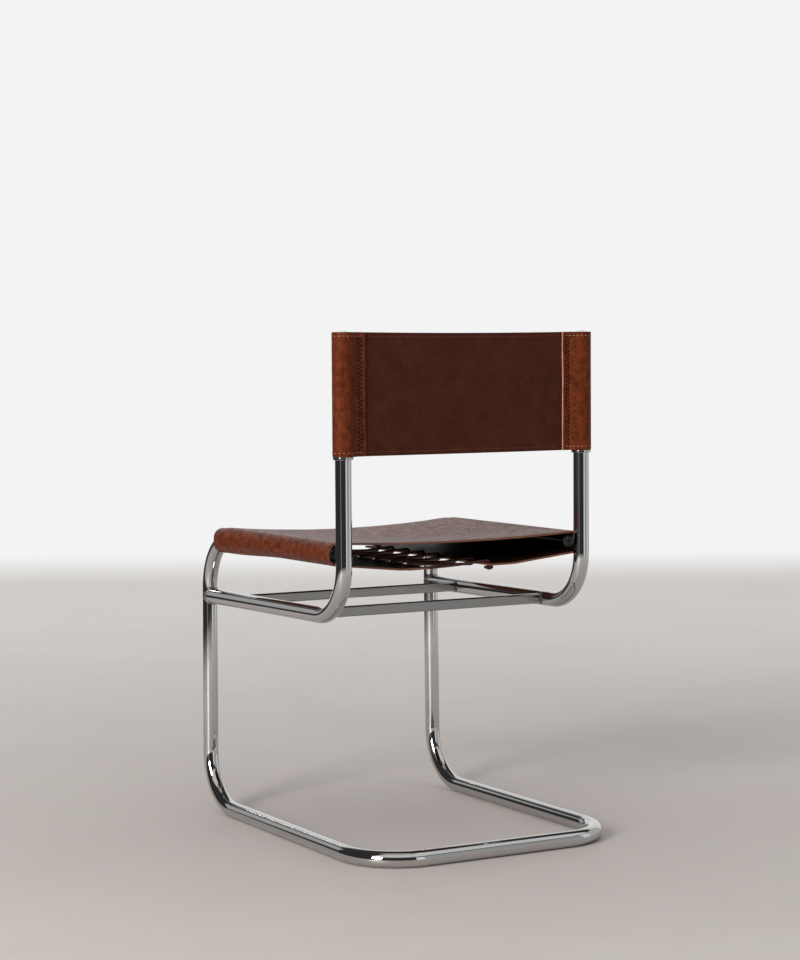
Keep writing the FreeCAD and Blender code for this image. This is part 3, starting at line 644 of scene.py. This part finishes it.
# First slots of a flap's cut end and of the painted highlight line along its end, and the columns of faces
# that they take up
CUT_SLOT, HIGHLIGHT_LINE_SLOT, END_COLUMNS = 3, 6, 3


def heading_vector(turned):
    return Vector((math.cos(turned), math.sin(turned)))


def left_of(turned):
    return heading_vector(turned + math.pi / 2)


def chain_counts(moves, step, turn_step):
    """How many steps each move takes, fine enough for its length and its turn."""
    counts = []
    for radius, amount in moves:
        bend = 0 if radius is None else abs(amount)
        reach = amount if radius is None else radius * bend
        counts.append(max(1, math.ceil(reach / step), math.ceil(bend / turn_step)))
    return counts


def walk_chain(start, moves, counts):
    """Places, headings and travelled lengths along a chain that starts along its first axis.

    A move is (None, length) or (radius, signed turn in radians)."""
    spot, heading, travelled = start.copy(), 0.0, 0.0
    steps = [(spot.copy(), heading, travelled)]
    for (radius, amount), count in zip(moves, counts):
        part = amount / count
        for _ in range(count):
            if radius is None:
                spot = spot + heading_vector(heading) * part
                travelled += part
            else:
                reach = math.copysign(radius, amount)
                centre = spot + left_of(heading) * reach
                heading += part
                spot = centre - left_of(heading) * reach
                travelled += radius * abs(part)
            steps.append((spot.copy(), heading, travelled))
    return steps


def both_sides(steps):
    """A chain and its mirror image: side, place, heading and length from the middle."""
    mirrored = [(-1, Vector((-spot.x, spot.y)), -heading, -gone) for spot, heading, gone in steps[:0:-1]]
    return mirrored + [(1, *step) for step in steps]


def ripple(place, size, reach):
    """A slow wave over a hide, the same at each run."""
    return noise.noise(Vector(place) / size) * reach


def freedom(gone, held, calm):
    """1 on the open panel and 0 where the hide is held."""
    return 1 - min(max((abs(gone) - held + CALM_START) / (CALM_START - calm), 0), 1)


def finish_hide(piece, leather, grain, flesh, dressed, raw):
    """Give a mid-surface its materials, its thickness, its rim and rounded edges."""
    for material in (grain, flesh, dressed, grain, flesh, raw, dressed, flesh, raw):
        piece.data.materials.append(material)
    apply_modifier(
        piece, "SOLIDIFY", thickness=leather.thickness, offset=0.0, use_even_offset=True,
        use_rim=True, material_offset=1, material_offset_rim=2)
    apply_modifier(
        piece, "BEVEL", width=leather.edge_round, segments=2, limit_method="ANGLE",
        angle_limit=math.radians(50), harden_normals=False)
    smooth_by_angle(piece, 40)


# Seat leather

def eased(stops, values, reach):
    """A value carried smoothly from stop to stop."""
    for before, after, low, high in zip(stops, stops[1:], values, values[1:]):
        if reach <= after:
            part = min(max((reach - before) / (after - before), 0), 1)
            return low + (high - low) * part * part * (3 - 2 * part)
    return values[-1]


def seat_moves(seat, leather, sag, slack, dip):
    """Start and moves of half a seat section, seen from the front, with up as the second axis."""
    roll = TUBE_RADIUS + leather.clearance + leather.thickness / 2
    span = (HALF_SEAT ** 2 + sag ** 2) / (2 * sag)
    rise = math.asin(HALF_SEAT / span)
    turn = seat.flap_turn
    flap_centre = Vector((seat.flap_level, SEAT_LOW.z + leather.thickness / 2 + turn))
    across = flap_centre - Vector((HALF_SEAT, RAIL_Z - slack))
    droop = math.asin((turn - roll) / across.length) + math.atan2(across.y, across.x) - math.pi
    moves = [
        (span - roll, rise),
        (roll, -(math.pi / 2 + rise)),
        (None, slack - dip),
        (roll, -(math.pi / 2 - droop)),
        (None, math.sqrt(across.length ** 2 - (turn - roll) ** 2)),
        (turn, -droop),
        (None, seat.flap_level - seat.flap_edge),
    ]
    return Vector((0, RAIL_Z - dip + roll - sag)), moves


def seat_row(seat, leather, y, counts=None):
    """The section of the seat at one place along it, and how many steps each of its moves takes."""
    stops = (
        SEAT_LOW.y - LEG_Y, seat.bend_reach, SEAT_HIGH.y - LEG_Y - seat.middle_inset, SEAT_HIGH.y - LEG_Y)
    dips = (seat.front_dip, 0, 0, 0)
    hung = [eased(stops, values, y - LEG_Y) for values in (seat.sags[:], seat.slacks[:], dips)]
    start, moves = seat_moves(seat, leather, *hung)
    counts = counts or chain_counts(moves, SEAT_STEP, BEND_STEP)
    return both_sides(walk_chain(start, moves, counts)), counts


def build_seat(seat, leather, finishes):
    steps = math.ceil(SEAT_LENGTH / SEAT_ROW_STEP)
    counts = seat_row(seat, leather, SEAT_LOW.y)[1]
    rows = []
    for index in range(steps + 1):
        y = SEAT_LOW.y + SEAT_LENGTH * index / steps
        sections, _ = seat_row(seat, leather, y, counts)
        end = sections[-1][3]
        edge = 1 - min(min(index, steps - index) / END_ROWS, 1)
        seed = FRONT_SEED if index < steps / 2 else REAR_SEED
        row = []
        for side, spot, heading, gone in sections:
            place = Vector((spot.x, y, spot.y))
            flap = max(0.0, 1 - (end - abs(gone)) / SEAT_FLAP_REACH)
            wave = ripple(place, SEAT_WAVE, leather.waviness) * freedom(gone, HALF_SEAT, SEAT_CALM)
            wave += ripple(place + FLAP_SEED, FLAP_WAVE, leather.waviness) * flap
            cut = ripple((side * FLAP_CUT_SEED, y, 0), *FLAP_CUT) * flap
            trim = ripple((spot.x, seed, 0), *END_CUT) * edge
            off = left_of(heading)
            row.append(place + Vector((off.x * wave + side * cut, trim, off.y * wave)))
        rows.append(row)
    piece = lay_grid("seat_hide", rows)
    finish_hide(piece, leather, *finishes)
    return piece


def eyelet_spots(seat, lace):
    """Eyelets in the order in which the lace meets them, right and left flap in turn."""
    reach = seat.flap_edge + lace.edge_margin
    start = SEAT_LOW.y + lace.front_margin
    step = (SEAT_HIGH.y - lace.rear_margin - start) / (lace.eyelets - 1)
    return [((1 if index % 2 else -1) * reach, start + index * step) for index in range(lace.eyelets)]


def punch_eyelets(piece, seat, leather, lace):
    """Cut the round holes that the lace runs through."""
    cutters = []
    for spot in eyelet_spots(seat, lace):
        select()
        bpy.ops.mesh.primitive_cylinder_add(
            vertices=24, radius=lace.diameter / 2 + lace.eyelet_clearance, depth=4 * leather.thickness,
            location=(*spot, SEAT_LOW.z + leather.thickness / 2))
        cutters.append(bpy.context.object)
    punch = join_pieces("eyelet_punch", cutters)
    apply_modifier(piece, "BOOLEAN", object=punch, operation="DIFFERENCE", solver="EXACT")
    bpy.data.objects.remove(punch)


# Back leather

def loop_branch(start, turned, away, turn_radius, loop_radius):
    """How a layer turns away and runs straight until it touches the loop round an upright."""
    across = Vector((HALF_SEAT, 0)) - (start + away * turn_radius)
    lift = math.asin((turn_radius + loop_radius) / across.length)
    bend = math.acos(max(-1, min(1, heading_vector(turned).dot(across) / across.length)))
    return lift - bend, math.sqrt(across.length ** 2 - (turn_radius + loop_radius) ** 2)


class BackStrip:
    """Half the back strip, seen from above: its moves, and the places on it."""

    def __init__(self, back, leather):
        self.back, self.leather = back, leather
        self.join = HALF_SEAT - back.join_inset
        pair = leather.thickness + leather.clearance
        tilt = 2 * math.atan2(back.bow, self.join)
        bow_radius = self.join / math.sin(tilt)
        flap_radius = bow_radius + pair
        loop_radius = TUBE_RADIUS + leather.clearance + leather.thickness / 2
        rearward = left_of(-tilt)
        front = Vector((self.join, -pair / 2))
        front_turn, front_run = loop_branch(front, -tilt, -rearward, back.turn, loop_radius)
        rear_turn, rear_run = loop_branch(front + rearward * pair, -tilt, rearward, back.turn, loop_radius)
        self.start = Vector((0, back.bow - pair / 2))
        self.moves = [
            (bow_radius, -tilt),
            (back.turn, -front_turn),
            (None, front_run),
            (loop_radius, math.pi + front_turn + rear_turn),
            (None, rear_run),
            (back.turn, -rear_turn),
            (flap_radius, (back.flap_width - back.highlight_line_width) / flap_radius),
            # This last arc along the flap's end holds the painted highlight line
            (flap_radius, back.highlight_line_width / flap_radius),
        ]
        self.line = self.walk(FINE_STEP, FINE_BEND_STEP)
        self.length = self.line[-1][2]

    def walk(self, step, turn_step):
        return walk_chain(self.start, self.moves, chain_counts(self.moves, step, turn_step))

    def plain(self, side, spot, height):
        """A place on the strip before it waves. Its top dips between the uprights."""
        part = (height - BACK_LOW.z) / BACK_HEIGHT
        dip = self.back.top_dip * part * max(0.0, 1 - (spot.x / self.join) ** 2)
        return Vector((side * spot.x, spot.y + UPRIGHT_Y, height - dip))

    def wave(self, place, gone):
        """How far the open panel leaves its plain form, towards the rear."""
        return ripple(place, BACK_WAVE, self.leather.waviness) * freedom(gone, self.join, BACK_CALM)

    def on_face(self, gone, height, face, lift):
        """Place, direction and outward normal on a face of the strip. Face 1 is the flesh side."""
        spot, heading, _ = min(self.line, key=lambda sample: abs(sample[2] - abs(gone)))
        side = math.copysign(1, gone)
        off, ahead = left_of(heading), heading_vector(heading)
        plain = self.plain(side, spot, height)
        normal = Vector((side * off.x, off.y, 0))
        place = plain + normal * (self.wave(plain, gone) + face * (self.leather.thickness / 2 + lift))
        return place, Vector((side * ahead.x, ahead.y, 0)), normal * face


def build_back(strip, finishes):
    back = strip.back
    steps = both_sides(strip.walk(BACK_STEP, BEND_STEP))
    end = steps[-1][3]
    count = math.ceil(BACK_HEIGHT / BACK_ROW_STEP)
    rows = []
    for index in range(count + 1):
        z = BACK_LOW.z + BACK_HEIGHT * index / count
        row = []
        for side, spot, heading, gone in steps:
            place = strip.plain(1, spot, z)
            wave = strip.wave(place, gone)
            flap = max(0.0, 1 - (end - abs(gone)) / BACK_FLAP_REACH)
            cut = ripple((side * LOOP_CUT_SEED, 0, z), *LOOP_CUT) * flap
            if side > 0:
                cut -= back.nick_depth * flap * math.exp(-((z - back.nick_height) / back.nick_width) ** 2)
            off = left_of(heading)
            row.append(place + Vector((off.x * wave + side * cut, off.y * wave, 0)))
        rows.append(row)
    piece = lay_grid("back_hide", rows)
    across = len(steps) - 1
    # The last column at each end is the painted highlight line; the columns before it take the cut end's
    # slots
    for face in piece.data.polygons:
        column = face.index % across
        from_end = min(column, across - 1 - column)
        if from_end < END_COLUMNS:
            face.material_index = CUT_SLOT if from_end else HIGHLIGHT_LINE_SLOT
    finish_hide(piece, strip.leather, *finishes)
    return piece


# Sewing

# How far a thread stands off the leather or sinks in it, as a share of its diameter
THREAD_LIFT = 0.12
# How far an edge stitch leans from the line of its seam
EDGE_LEAN = 0.10
# How far the dark bead of painted shade in a needle hole rises, as a share of the thread's diameter
HOLE_RISE = 0.8


def model_bead(name, *size):
    """A plump bead along X, whose ends dip into the leather when it is laid there."""
    select()
    bpy.ops.mesh.primitive_uv_sphere_add(segments=8, ring_count=6, radius=0.5, location=(0, 0, 0))
    bead = bpy.context.object
    bead.name = name
    edit_all()
    bpy.ops.transform.rotate(value=math.pi / 2, orient_axis="Y", center_override=(0, 0, 0))
    bpy.ops.transform.resize(value=size, center_override=(0, 0, 0))
    bpy.ops.object.mode_set(mode="OBJECT")
    bpy.ops.object.shade_smooth()
    return bead


def copy_along(name, *groups):
    """One mesh with a copy of each group's model at each of its placings, under its own slot."""
    made = bmesh.new()
    for index, (model, placings) in enumerate(groups):
        for placing in placings:
            piece = model.data.copy()
            piece.transform(placing)
            for face in piece.polygons:
                face.material_index = index
            made.from_mesh(piece)
            bpy.data.meshes.remove(piece)
    mesh = bpy.data.meshes.new(name)
    made.to_mesh(mesh)
    made.free()
    return add_object(name, mesh)


def laid_on(spot, along, off):
    """Placing of a stitch at a spot, along the first vector and with its back to the second."""
    turned = Matrix((along, off.cross(along), off)).transposed().to_4x4()
    return Matrix.Translation(spot) @ turned


def edge_placings(strip, sewing, height, face, limit):
    """Stitches along one edge on one face of the strip, up to a length from its middle."""
    placings = []
    for index in range(int(limit / sewing.pitch)):
        for side in (1, -1):
            gone = side * (index + 0.5) * sewing.pitch
            spot, along, off = strip.on_face(gone, height, face, -face * sewing.thread * THREAD_LIFT)
            tilted = Vector((along.x, along.y, EDGE_LEAN * side * face)).normalized()
            placings.append(laid_on(spot, tilted, off))
    return placings


def seam_placings(strip, sewing, side):
    """Zigzag stitches through both layers, on the front of the panel and on the flap, and dark beads of
    painted shade in their needle holes.
    """
    placings, holes = [], []
    half_pitch = sewing.pitch / 2
    count = 2 * int((BACK_HEIGHT - 2 * sewing.inset) / sewing.pitch)
    foot = (BACK_HIGH.z + BACK_LOW.z - count * half_pitch) / 2
    lift = sewing.thread * THREAD_LIFT
    leg = Vector((sewing.seam_width, half_pitch))
    front = HALF_SEAT - sewing.seam_inset
    rear = strip.length - strip.back.flap_width + sewing.seam_inset - strip.back.join_inset
    for gone in (front, rear):
        for index in range(count):
            height = foot + (index + 0.5) * half_pitch
            spot, along, off = strip.on_face(side * gone, height, -1, lift)
            lean = leg.x if index % 2 else -leg.x
            climb = (along * lean + Vector((0, 0, leg.y))).normalized()
            off = (off - climb * off.dot(climb)).normalized()
            placings.append(laid_on(spot, climb, off))
            holes.append(laid_on(spot + climb * (leg.length / 2) - off * lift, climb, off))
    return placings, holes


# Lace under the seat

# How much the sag differs from run to run, and the size of the noise that says so, per metre
SAG_SPREAD, SAG_NOISE = 0.6, 40
# The stopper knot's turns and steps per turn
KNOT_TURNS, KNOT_STEPS = 1.5, 8


def lace_points(seat, leather, lace):
    """Control points from the knot on the first flap to the knot under the last."""
    foot, top = SEAT_LOW.z, SEAT_LOW.z + leather.thickness
    away = lace.lift + lace.diameter / 2
    low, high = foot - away, top + away
    spots = eyelet_spots(seat, lace)
    drop = high - low
    points = [Vector((*spots[0], top + leather.clearance)), Vector((*spots[0], low))]
    for before, after in zip(spots, spots[1:]):
        start, end = Vector((*before, low)), Vector((*after, high))
        ahead = (end - start).normalized()
        middle = (start + end) / 2
        middle.z -= lace.sag * (1 + SAG_SPREAD * noise.noise(middle * SAG_NOISE))
        points += [start + ahead * drop, middle, end - ahead * drop, end, Vector((*after, low))]
    points[-1] = Vector((*spots[-1], foot - leather.clearance))
    return points


def knot_points(spot, way, lace):
    """A flat stopper knot: a turn and a half on the leather, then the end tucked back over it."""
    radius = lace.diameter / 2
    reach, rise = radius * 1.75, radius * 1.05
    points = [spot.copy()]
    for index in range(int(KNOT_TURNS * KNOT_STEPS) + 1):
        turned = heading_vector(2 * math.pi * index / KNOT_STEPS) * reach
        climb = rise + lace.diameter * 0.3 * index / KNOT_STEPS
        points.append(spot + Vector((*turned, way * climb)))
    top = rise + lace.diameter * 0.8
    for tail in ((0, radius * 0.6, top), (reach * 1.6, radius * 1.4, top - radius * 0.5),
                 (reach * 3.0, radius * 2.4, rise)):
        points.append(spot + Vector((tail[0], tail[1], way * tail[2])))
    return points


def tube_along(name, points, radius):
    """A smooth round strand whose line is a NURBS spline through control points."""
    curve = bpy.data.curves.new(name, "CURVE")
    curve.dimensions = "3D"
    curve.bevel_depth = radius
    curve.bevel_resolution = 2
    curve.use_fill_caps = True
    spline = curve.splines.new("NURBS")
    spline.points.add(len(points) - 1)
    for target, point in zip(spline.points, points):
        target.co = (*point, 1)
    spline.order_u = 3
    spline.use_endpoint_u = True
    spline.resolution_u = 5
    select(add_object(name, curve))
    bpy.ops.object.convert(target="MESH")
    edit_all()
    bpy.ops.mesh.remove_doubles(threshold=0.00001)
    bpy.ops.mesh.normals_make_consistent(inside=False)
    bpy.ops.object.mode_set(mode="OBJECT")
    piece = bpy.context.object
    smooth_by_angle(piece, 50)
    return piece


# Stage

# Each card of the studio: azimuth from the camera's side, counted towards the picture's right,
# half its width, elevation, half its height, all in degrees, then how bright it is
STUDIO_CARDS = (
    (42, 8, 0, 26, 1.00),
    (68, 18, 0, 30, 0.44),
    (95, 10, 0, 34, 0.90),
    (126, 22, 0, 34, 0.58),
    (180, 33, 0, 34, 0.88),
    (-131, 8, 17, 13, 0.50),
    (-35, 2, 0, 18, 0.70),
    (35, 85, 55, 19, 0.80),
    (0, 180, 84, 8, 0.55),
)
ROOM_GLOW = 0.04


def place_camera(view):
    data = bpy.data.cameras.new("photo_camera")
    data.sensor_width = 36
    data.lens = view.lens
    camera = add_object("photo_camera", data)
    turned = (Matrix.Rotation(view.heading, 4, "Z") @
              Matrix.Rotation(math.pi / 2 + view.pitch, 4, "X") @
              Matrix.Rotation(view.roll, 4, "Z"))
    camera.matrix_world = Matrix.Translation(view.spot) @ turned
    bpy.context.scene.camera = camera


def build_floor(stage, view):
    select()
    bpy.ops.mesh.primitive_plane_add(size=2 * stage.floor_reach, location=(0, 0, 0))
    edit_all()
    bpy.ops.transform.rotate(value=-view.heading, orient_axis="Z", center_override=(0, 0, 0))
    bpy.ops.object.mode_set(mode="OBJECT")
    floor = bpy.context.object
    floor.name = "studio_floor"
    floor.data.materials.append(floor_material(stage, view))


def floor_material(stage, view):
    """Trowelled warm grey with faint pink patches, painted darker near the chair and paler farther out as
    painted light, and paling into the backdrop at its far sides.

    Reflections look through its far parts, at the cards of the studio."""
    material, shader = new_material("studio_floor")
    fine = shader.noise(11.0, 5.0, 0.6)
    radius = shader.add("ShaderNodeVectorMath", {"operation": "LENGTH"}, Vector=shader.place)
    radius = radius.outputs["Value"]
    pink = shader.product(shader.group("Soft_Blotches", Scale=2.6, Contrast=0.16)["Mask"], 0.45)
    # Painted light: the grey darkens towards the chair and pales farther out
    tone = shader.blend(shader.ramp(radius, -0.6, 3.9), stage.floor_near, stage.floor_far)
    tone = shader.blend(pink, tone, (0.93, 0.90, 0.90), "MULTIPLY")
    tone = shader.blend(shader.ramp(fine, 0.35, 0.7, 0.0, 0.10), tone, (1.0, 1.0, 1.0), "SOFT_LIGHT")
    shader.set(
        shader.surface, Base_Color=tone, Roughness=shader.ramp(fine, 0.3, 0.7, 0.52, 0.62),
        Specular_IOR_Level=0.3)
    shader.bump(fine, 0.02, 0.002)
    turned = shader.add(
        "ShaderNodeVectorRotate", {"rotation_type": "Z_AXIS"}, Vector=shader.place, Angle=-view.heading)
    parts = shader.add("ShaderNodeSeparateXYZ", Vector=turned.outputs["Vector"]).outputs
    reach = shader.math("MAXIMUM", *(shader.math("ABSOLUTE", parts[axis]) for axis in "XY"))
    pale = shader.ramp(reach, stage.wall_start, stage.wall_full)
    glow = shader.add("ShaderNodeEmission", Color=stage.wall_colour, Strength=1.0)
    seen = shader.mix(pale, shader.surface.outputs["BSDF"], glow.outputs["Emission"])
    mirrored = shader.add("ShaderNodeLightPath").outputs["Is Glossy Ray"]
    beyond = shader.product(mirrored, shader.ramp(radius, stage.mirror_start, stage.mirror_end))
    clear = shader.add("ShaderNodeBsdfTransparent").outputs["BSDF"]
    shader.set(shader.output, Surface=shader.mix(beyond, seen, clear))
    return material


def build_world(stage, view):
    """A pale backdrop for the camera, a dome that brightens upwards for dull surfaces, and cards
    for reflections."""
    world = bpy.data.worlds.new("studio")
    bpy.context.scene.world = world
    world.use_nodes = True
    world.node_tree.nodes.clear()
    shader = Shader(world.node_tree)
    direction = shader.add("ShaderNodeTexCoord").outputs["Generated"]
    parts = shader.add("ShaderNodeSeparateXYZ", Vector=direction).outputs
    turned = shader.math("ARCTAN2", parts["Y"], parts["X"])
    camera_side = math.atan2(view.spot[1], view.spot[0])
    azimuth = shader.product(shader.math("SUBTRACT", turned, camera_side), 180 / math.pi)
    elevation = shader.product(shader.math("ARCSINE", parts["Z"]), 180 / math.pi)
    cards = ROOM_GLOW
    for card_azimuth, half_width, card_elevation, half_height, glow in STUDIO_CARDS:
        card = shader.group(
            "Studio_Card", Azimuth=azimuth, Elevation=elevation, Card_Azimuth=card_azimuth,
            Half_Width=half_width, Card_Elevation=card_elevation, Half_Height=half_height, Glow=glow)
        cards = shader.math("MAXIMUM", card["Light"], cards)
    rays = shader.add("ShaderNodeLightPath").outputs
    climb = shader.math("POWER", shader.math("MAXIMUM", parts["Z"], 0.0), 2.0)
    dome = shader.math("MULTIPLY_ADD", climb, stage.sky_high - stage.sky_low, stage.sky_low)
    mirrored = shader.math("MAXIMUM", rays["Is Glossy Ray"], rays["Is Transmission Ray"])
    seen = shader.blend(rays["Is Camera Ray"], shader.blend(mirrored, dome, cards), stage.wall_colour)
    background = shader.add("ShaderNodeBackground", Color=seen, Strength=1.0)
    shader.add("ShaderNodeOutputWorld", Surface=background.outputs["Background"])


def build_key_light(stage):
    data = bpy.data.lights.new("key_softbox", "AREA")
    data.energy = stage.key_power
    data.shape = "RECTANGLE"
    data.size, data.size_y = stage.key_width, stage.key_tall
    level = heading_vector(stage.key_azimuth) * math.cos(stage.key_height)
    towards = Vector((*level, math.sin(stage.key_height)))
    place = (WHOLE_BOX[0] + WHOLE_BOX[1]) / 2 + towards * stage.key_distance
    turned = towards.to_track_quat("Z", "Y").to_matrix().to_4x4()
    add_object("key_softbox", data).matrix_world = Matrix.Translation(place) @ turned


# Operators

class CHAIR_OT_stage(bpy.types.Operator):
    """Set up the camera, the floor, the backdrop and the lights"""
    bl_idname = "chair.stage"
    bl_label = "Stage"

    def execute(self, context):
        scene = context.scene
        scene.view_settings.view_transform = "Standard"
        place_camera(scene.chair_view)
        build_floor(scene.chair_stage, scene.chair_view)
        build_world(scene.chair_stage, scene.chair_view)
        build_key_light(scene.chair_stage)
        return {"FINISHED"}


class CHAIR_OT_tubes(bpy.types.Operator):
    """Finish the bent tubes, the flat bars and the welds"""
    bl_idname = "chair.tubes"
    bl_label = "Tubes, bars and welds"

    def execute(self, context):
        metal = context.scene.chair_metal
        finish_nodes(chrome_material(metal), "base_frame_tube", "back_tube_left", "back_tube_right")
        finish_nodes(bar_material(metal), "front_cross_bar", "rear_cross_bar")
        finish_nodes(weld_material(metal), "side_rail_welds", "cross_bar_welds")
        return {"FINISHED"}


class CHAIR_OT_fittings(bpy.types.Operator):
    """Finish the plugs in the tube ends and the rings under the back leather"""
    bl_idname = "chair.fittings"
    bl_label = "Plugs and rings"

    def execute(self, context):
        pale = plastic_material("pale_plug", (0.78, 0.76, 0.72), (0.66, 0.63, 0.58), 0.42)
        dark = plastic_material("dark_plug", (0.016, 0.016, 0.016), (0.009, 0.009, 0.009), 0.22)
        finish_nodes(pale, "back_post_cap_left", "back_post_cap_right")
        finish_nodes(dark, "seat_rail_cap_left", "seat_rail_cap_right")
        finish_nodes(collar_material(), "back_collar_left", "back_collar_right")
        return {"FINISHED"}


class CHAIR_OT_seat(bpy.types.Operator):
    """Make the seat hide with its rolls, flaps and eyelets"""
    bl_idname = "chair.seat"
    bl_label = "Seat leather"

    def execute(self, context):
        scene = context.scene
        seat, leather, lace = scene.chair_seat, scene.chair_leather, scene.chair_lace
        # The seat's inner side takes a much darker copy of the flesh: painted shade inside the rolls and
        # the flaps
        light, dark = dimmed(leather.flesh_light, 0.30), dimmed(leather.flesh_dark, 0.25)
        flesh = flesh_material("seat_flesh_shaded", light, dark, 0.5)
        dressed = edge_material("seat_edge", leather.dressed_edge, 0.45)
        piece = build_seat(seat, leather, (shared_grain(leather), flesh, dressed, dressed))
        punch_eyelets(piece, seat, leather, lace)
        settle(piece, "saddle_leather", "seat_leather")
        steps, _ = seat_row(seat, leather, SEAT_HIGH.y)
        return {"FINISHED"}


class CHAIR_OT_back(bpy.types.Operator):
    """Make the back hide with a sewn loop round each upright"""
    bl_idname = "chair.back"
    bl_label = "Back leather"

    def execute(self, context):
        leather = context.scene.chair_leather
        strip = BackStrip(context.scene.chair_back, leather)
        flesh = flesh_material("back_flesh", leather.flesh_light, leather.flesh_dark, 0.48)
        dressed = edge_material("back_edge", dimmed(leather.dressed_edge, 0.6), 0.5)
        raw = edge_material("back_cut_edge", leather.raw_edge, 0.6)
        piece = build_back(strip, (shared_grain(leather), flesh, dressed, raw))
        settle(piece, "saddle_leather", "backrest_leather")
        reach = walk_chain(strip.start, strip.moves, [1] * len(strip.moves))[-1][2]
        return {"FINISHED"}


class CHAIR_OT_sewing(bpy.types.Operator):
    """Sew the edges and the two zigzag seams of the back"""
    bl_idname = "chair.sewing"
    bl_label = "Sewing"

    def execute(self, context):
        scene = context.scene
        sewing, strip = scene.chair_sewing, BackStrip(scene.chair_back, scene.chair_leather)
        stitch = model_bead("stitch_model", sewing.stitch, sewing.thread, sewing.thread)
        hole = model_bead("hole_shade_model", sewing.hole, sewing.hole, sewing.thread * HOLE_RISE)
        tan = strand_material("waxed_thread", sewing.thread_light, sewing.thread_crease_shade, 0.5)
        # Darker copies of the tan thread: painted shade on the panel and in the zigzag seams
        dull = strand_material("panel_thread", sewing.panel_thread, dimmed(sewing.panel_thread, 0.6), 0.55)
        brown = strand_material("seam_thread", sewing.seam_thread, dimmed(sewing.seam_thread, 0.5), 0.5)
        # Nearly black beads: painted shade in the needle holes
        black = strand_material(
            "needle_hole_shade", sewing.hole_shade_colour, dimmed(sewing.hole_shade_colour, 0.5), 0.8, shine=0.0)
        outside_end = strip.length - sewing.stitch / 2
        panel_end = strip.join - strip.back.flap_width - sewing.stitch
        for place, height in (("top", BACK_HIGH.z - sewing.inset), ("bottom", BACK_LOW.z + sewing.inset)):
            outside = edge_placings(strip, sewing, height, -1, outside_end)
            panel = edge_placings(strip, sewing, height, 1, panel_end)
            piece = copy_along("edge_stitches_" + place, (stitch, outside), (stitch, panel))
            settle(piece, "sewing_thread", "back_edge_thread_" + place, tan, dull)
        for place, side in SIDES:
            legs, holes = seam_placings(strip, sewing, side)
            piece = copy_along("seam_stitches_" + place, (stitch, legs), (hole, holes))
            settle(piece, "sewing_thread", "back_seam_thread_" + place, brown, black)
        for model in (stitch, hole):
            bpy.data.objects.remove(model)
        return {"FINISHED"}


class CHAIR_OT_lacing(bpy.types.Operator):
    """Lace the two flaps of the seat together and knot both ends"""
    bl_idname = "chair.lacing"
    bl_label = "Lacing"

    def execute(self, context):
        scene = context.scene
        lace, radius = scene.chair_lace, scene.chair_lace.diameter / 2
        strand = strand_material("round_lace", lace.light, lace.dark, 0.38, 900.0)
        points = lace_points(scene.chair_seat, scene.chair_leather, lace)
        settle(tube_along("flap_lace", points, radius), "lace_leather", "seat_lacing", strand)
        ends = [tube_along("lace_knot", knot_points(spot, way, lace), radius)
                for spot, way in ((points[0], 1), (points[-1], -1))]
        settle(join_pieces("lace_knots", ends), "lace_leather", "lacing_knots", strand)
        return {"FINISHED"}


class CHAIR_PT_panel(bpy.types.Panel):
    """Lists the chair's steps and settings"""
    bl_idname = "CHAIR_PT_panel"
    bl_label = "Cantilever Chair"
    bl_space_type = "VIEW_3D"
    bl_region_type = "UI"
    bl_category = "Chair"

    def draw(self, context):
        for operator in OPERATORS:
            self.layout.operator(operator.bl_idname)
        for name in SETTINGS:
            box = self.layout.box()
            box.label(text=name.replace("_", " ").capitalize())
            group = getattr(context.scene, name)
            for setting in group.bl_rna.properties.keys():
                if setting not in {"rna_type", "name"}:
                    box.prop(group, setting)


SETTINGS = {
    "chair_view": ChairViewSettings,
    "chair_stage": ChairStageSettings,
    "chair_metal": ChairMetalSettings,
    "chair_leather": ChairLeatherSettings,
    "chair_seat": ChairSeatSettings,
    "chair_back": ChairBackSettings,
    "chair_sewing": ChairSewingSettings,
    "chair_lace": ChairLaceSettings,
}
OPERATORS = (
    CHAIR_OT_stage, CHAIR_OT_tubes, CHAIR_OT_fittings, CHAIR_OT_seat, CHAIR_OT_back,
    CHAIR_OT_sewing, CHAIR_OT_lacing,
)


def register():
    for name, group in SETTINGS.items():
        bpy.utils.register_class(group)
        setattr(bpy.types.Scene, name, PointerProperty(type=group))
    for item in OPERATORS + (CHAIR_PT_panel,):
        bpy.utils.register_class(item)


def unregister():
    for item in (CHAIR_PT_panel,) + OPERATORS[::-1]:
        bpy.utils.unregister_class(item)
    for name, group in SETTINGS.items():
        delattr(bpy.types.Scene, name)
        bpy.utils.unregister_class(group)


def main():
    register()
    bpy.ops.chair.stage()
    bpy.ops.chair.tubes()
    bpy.ops.chair.fittings()
    bpy.ops.chair.seat()
    bpy.ops.chair.back()
    bpy.ops.chair.sewing()
    bpy.ops.chair.lacing()


if __name__ == "__main__":
    main()
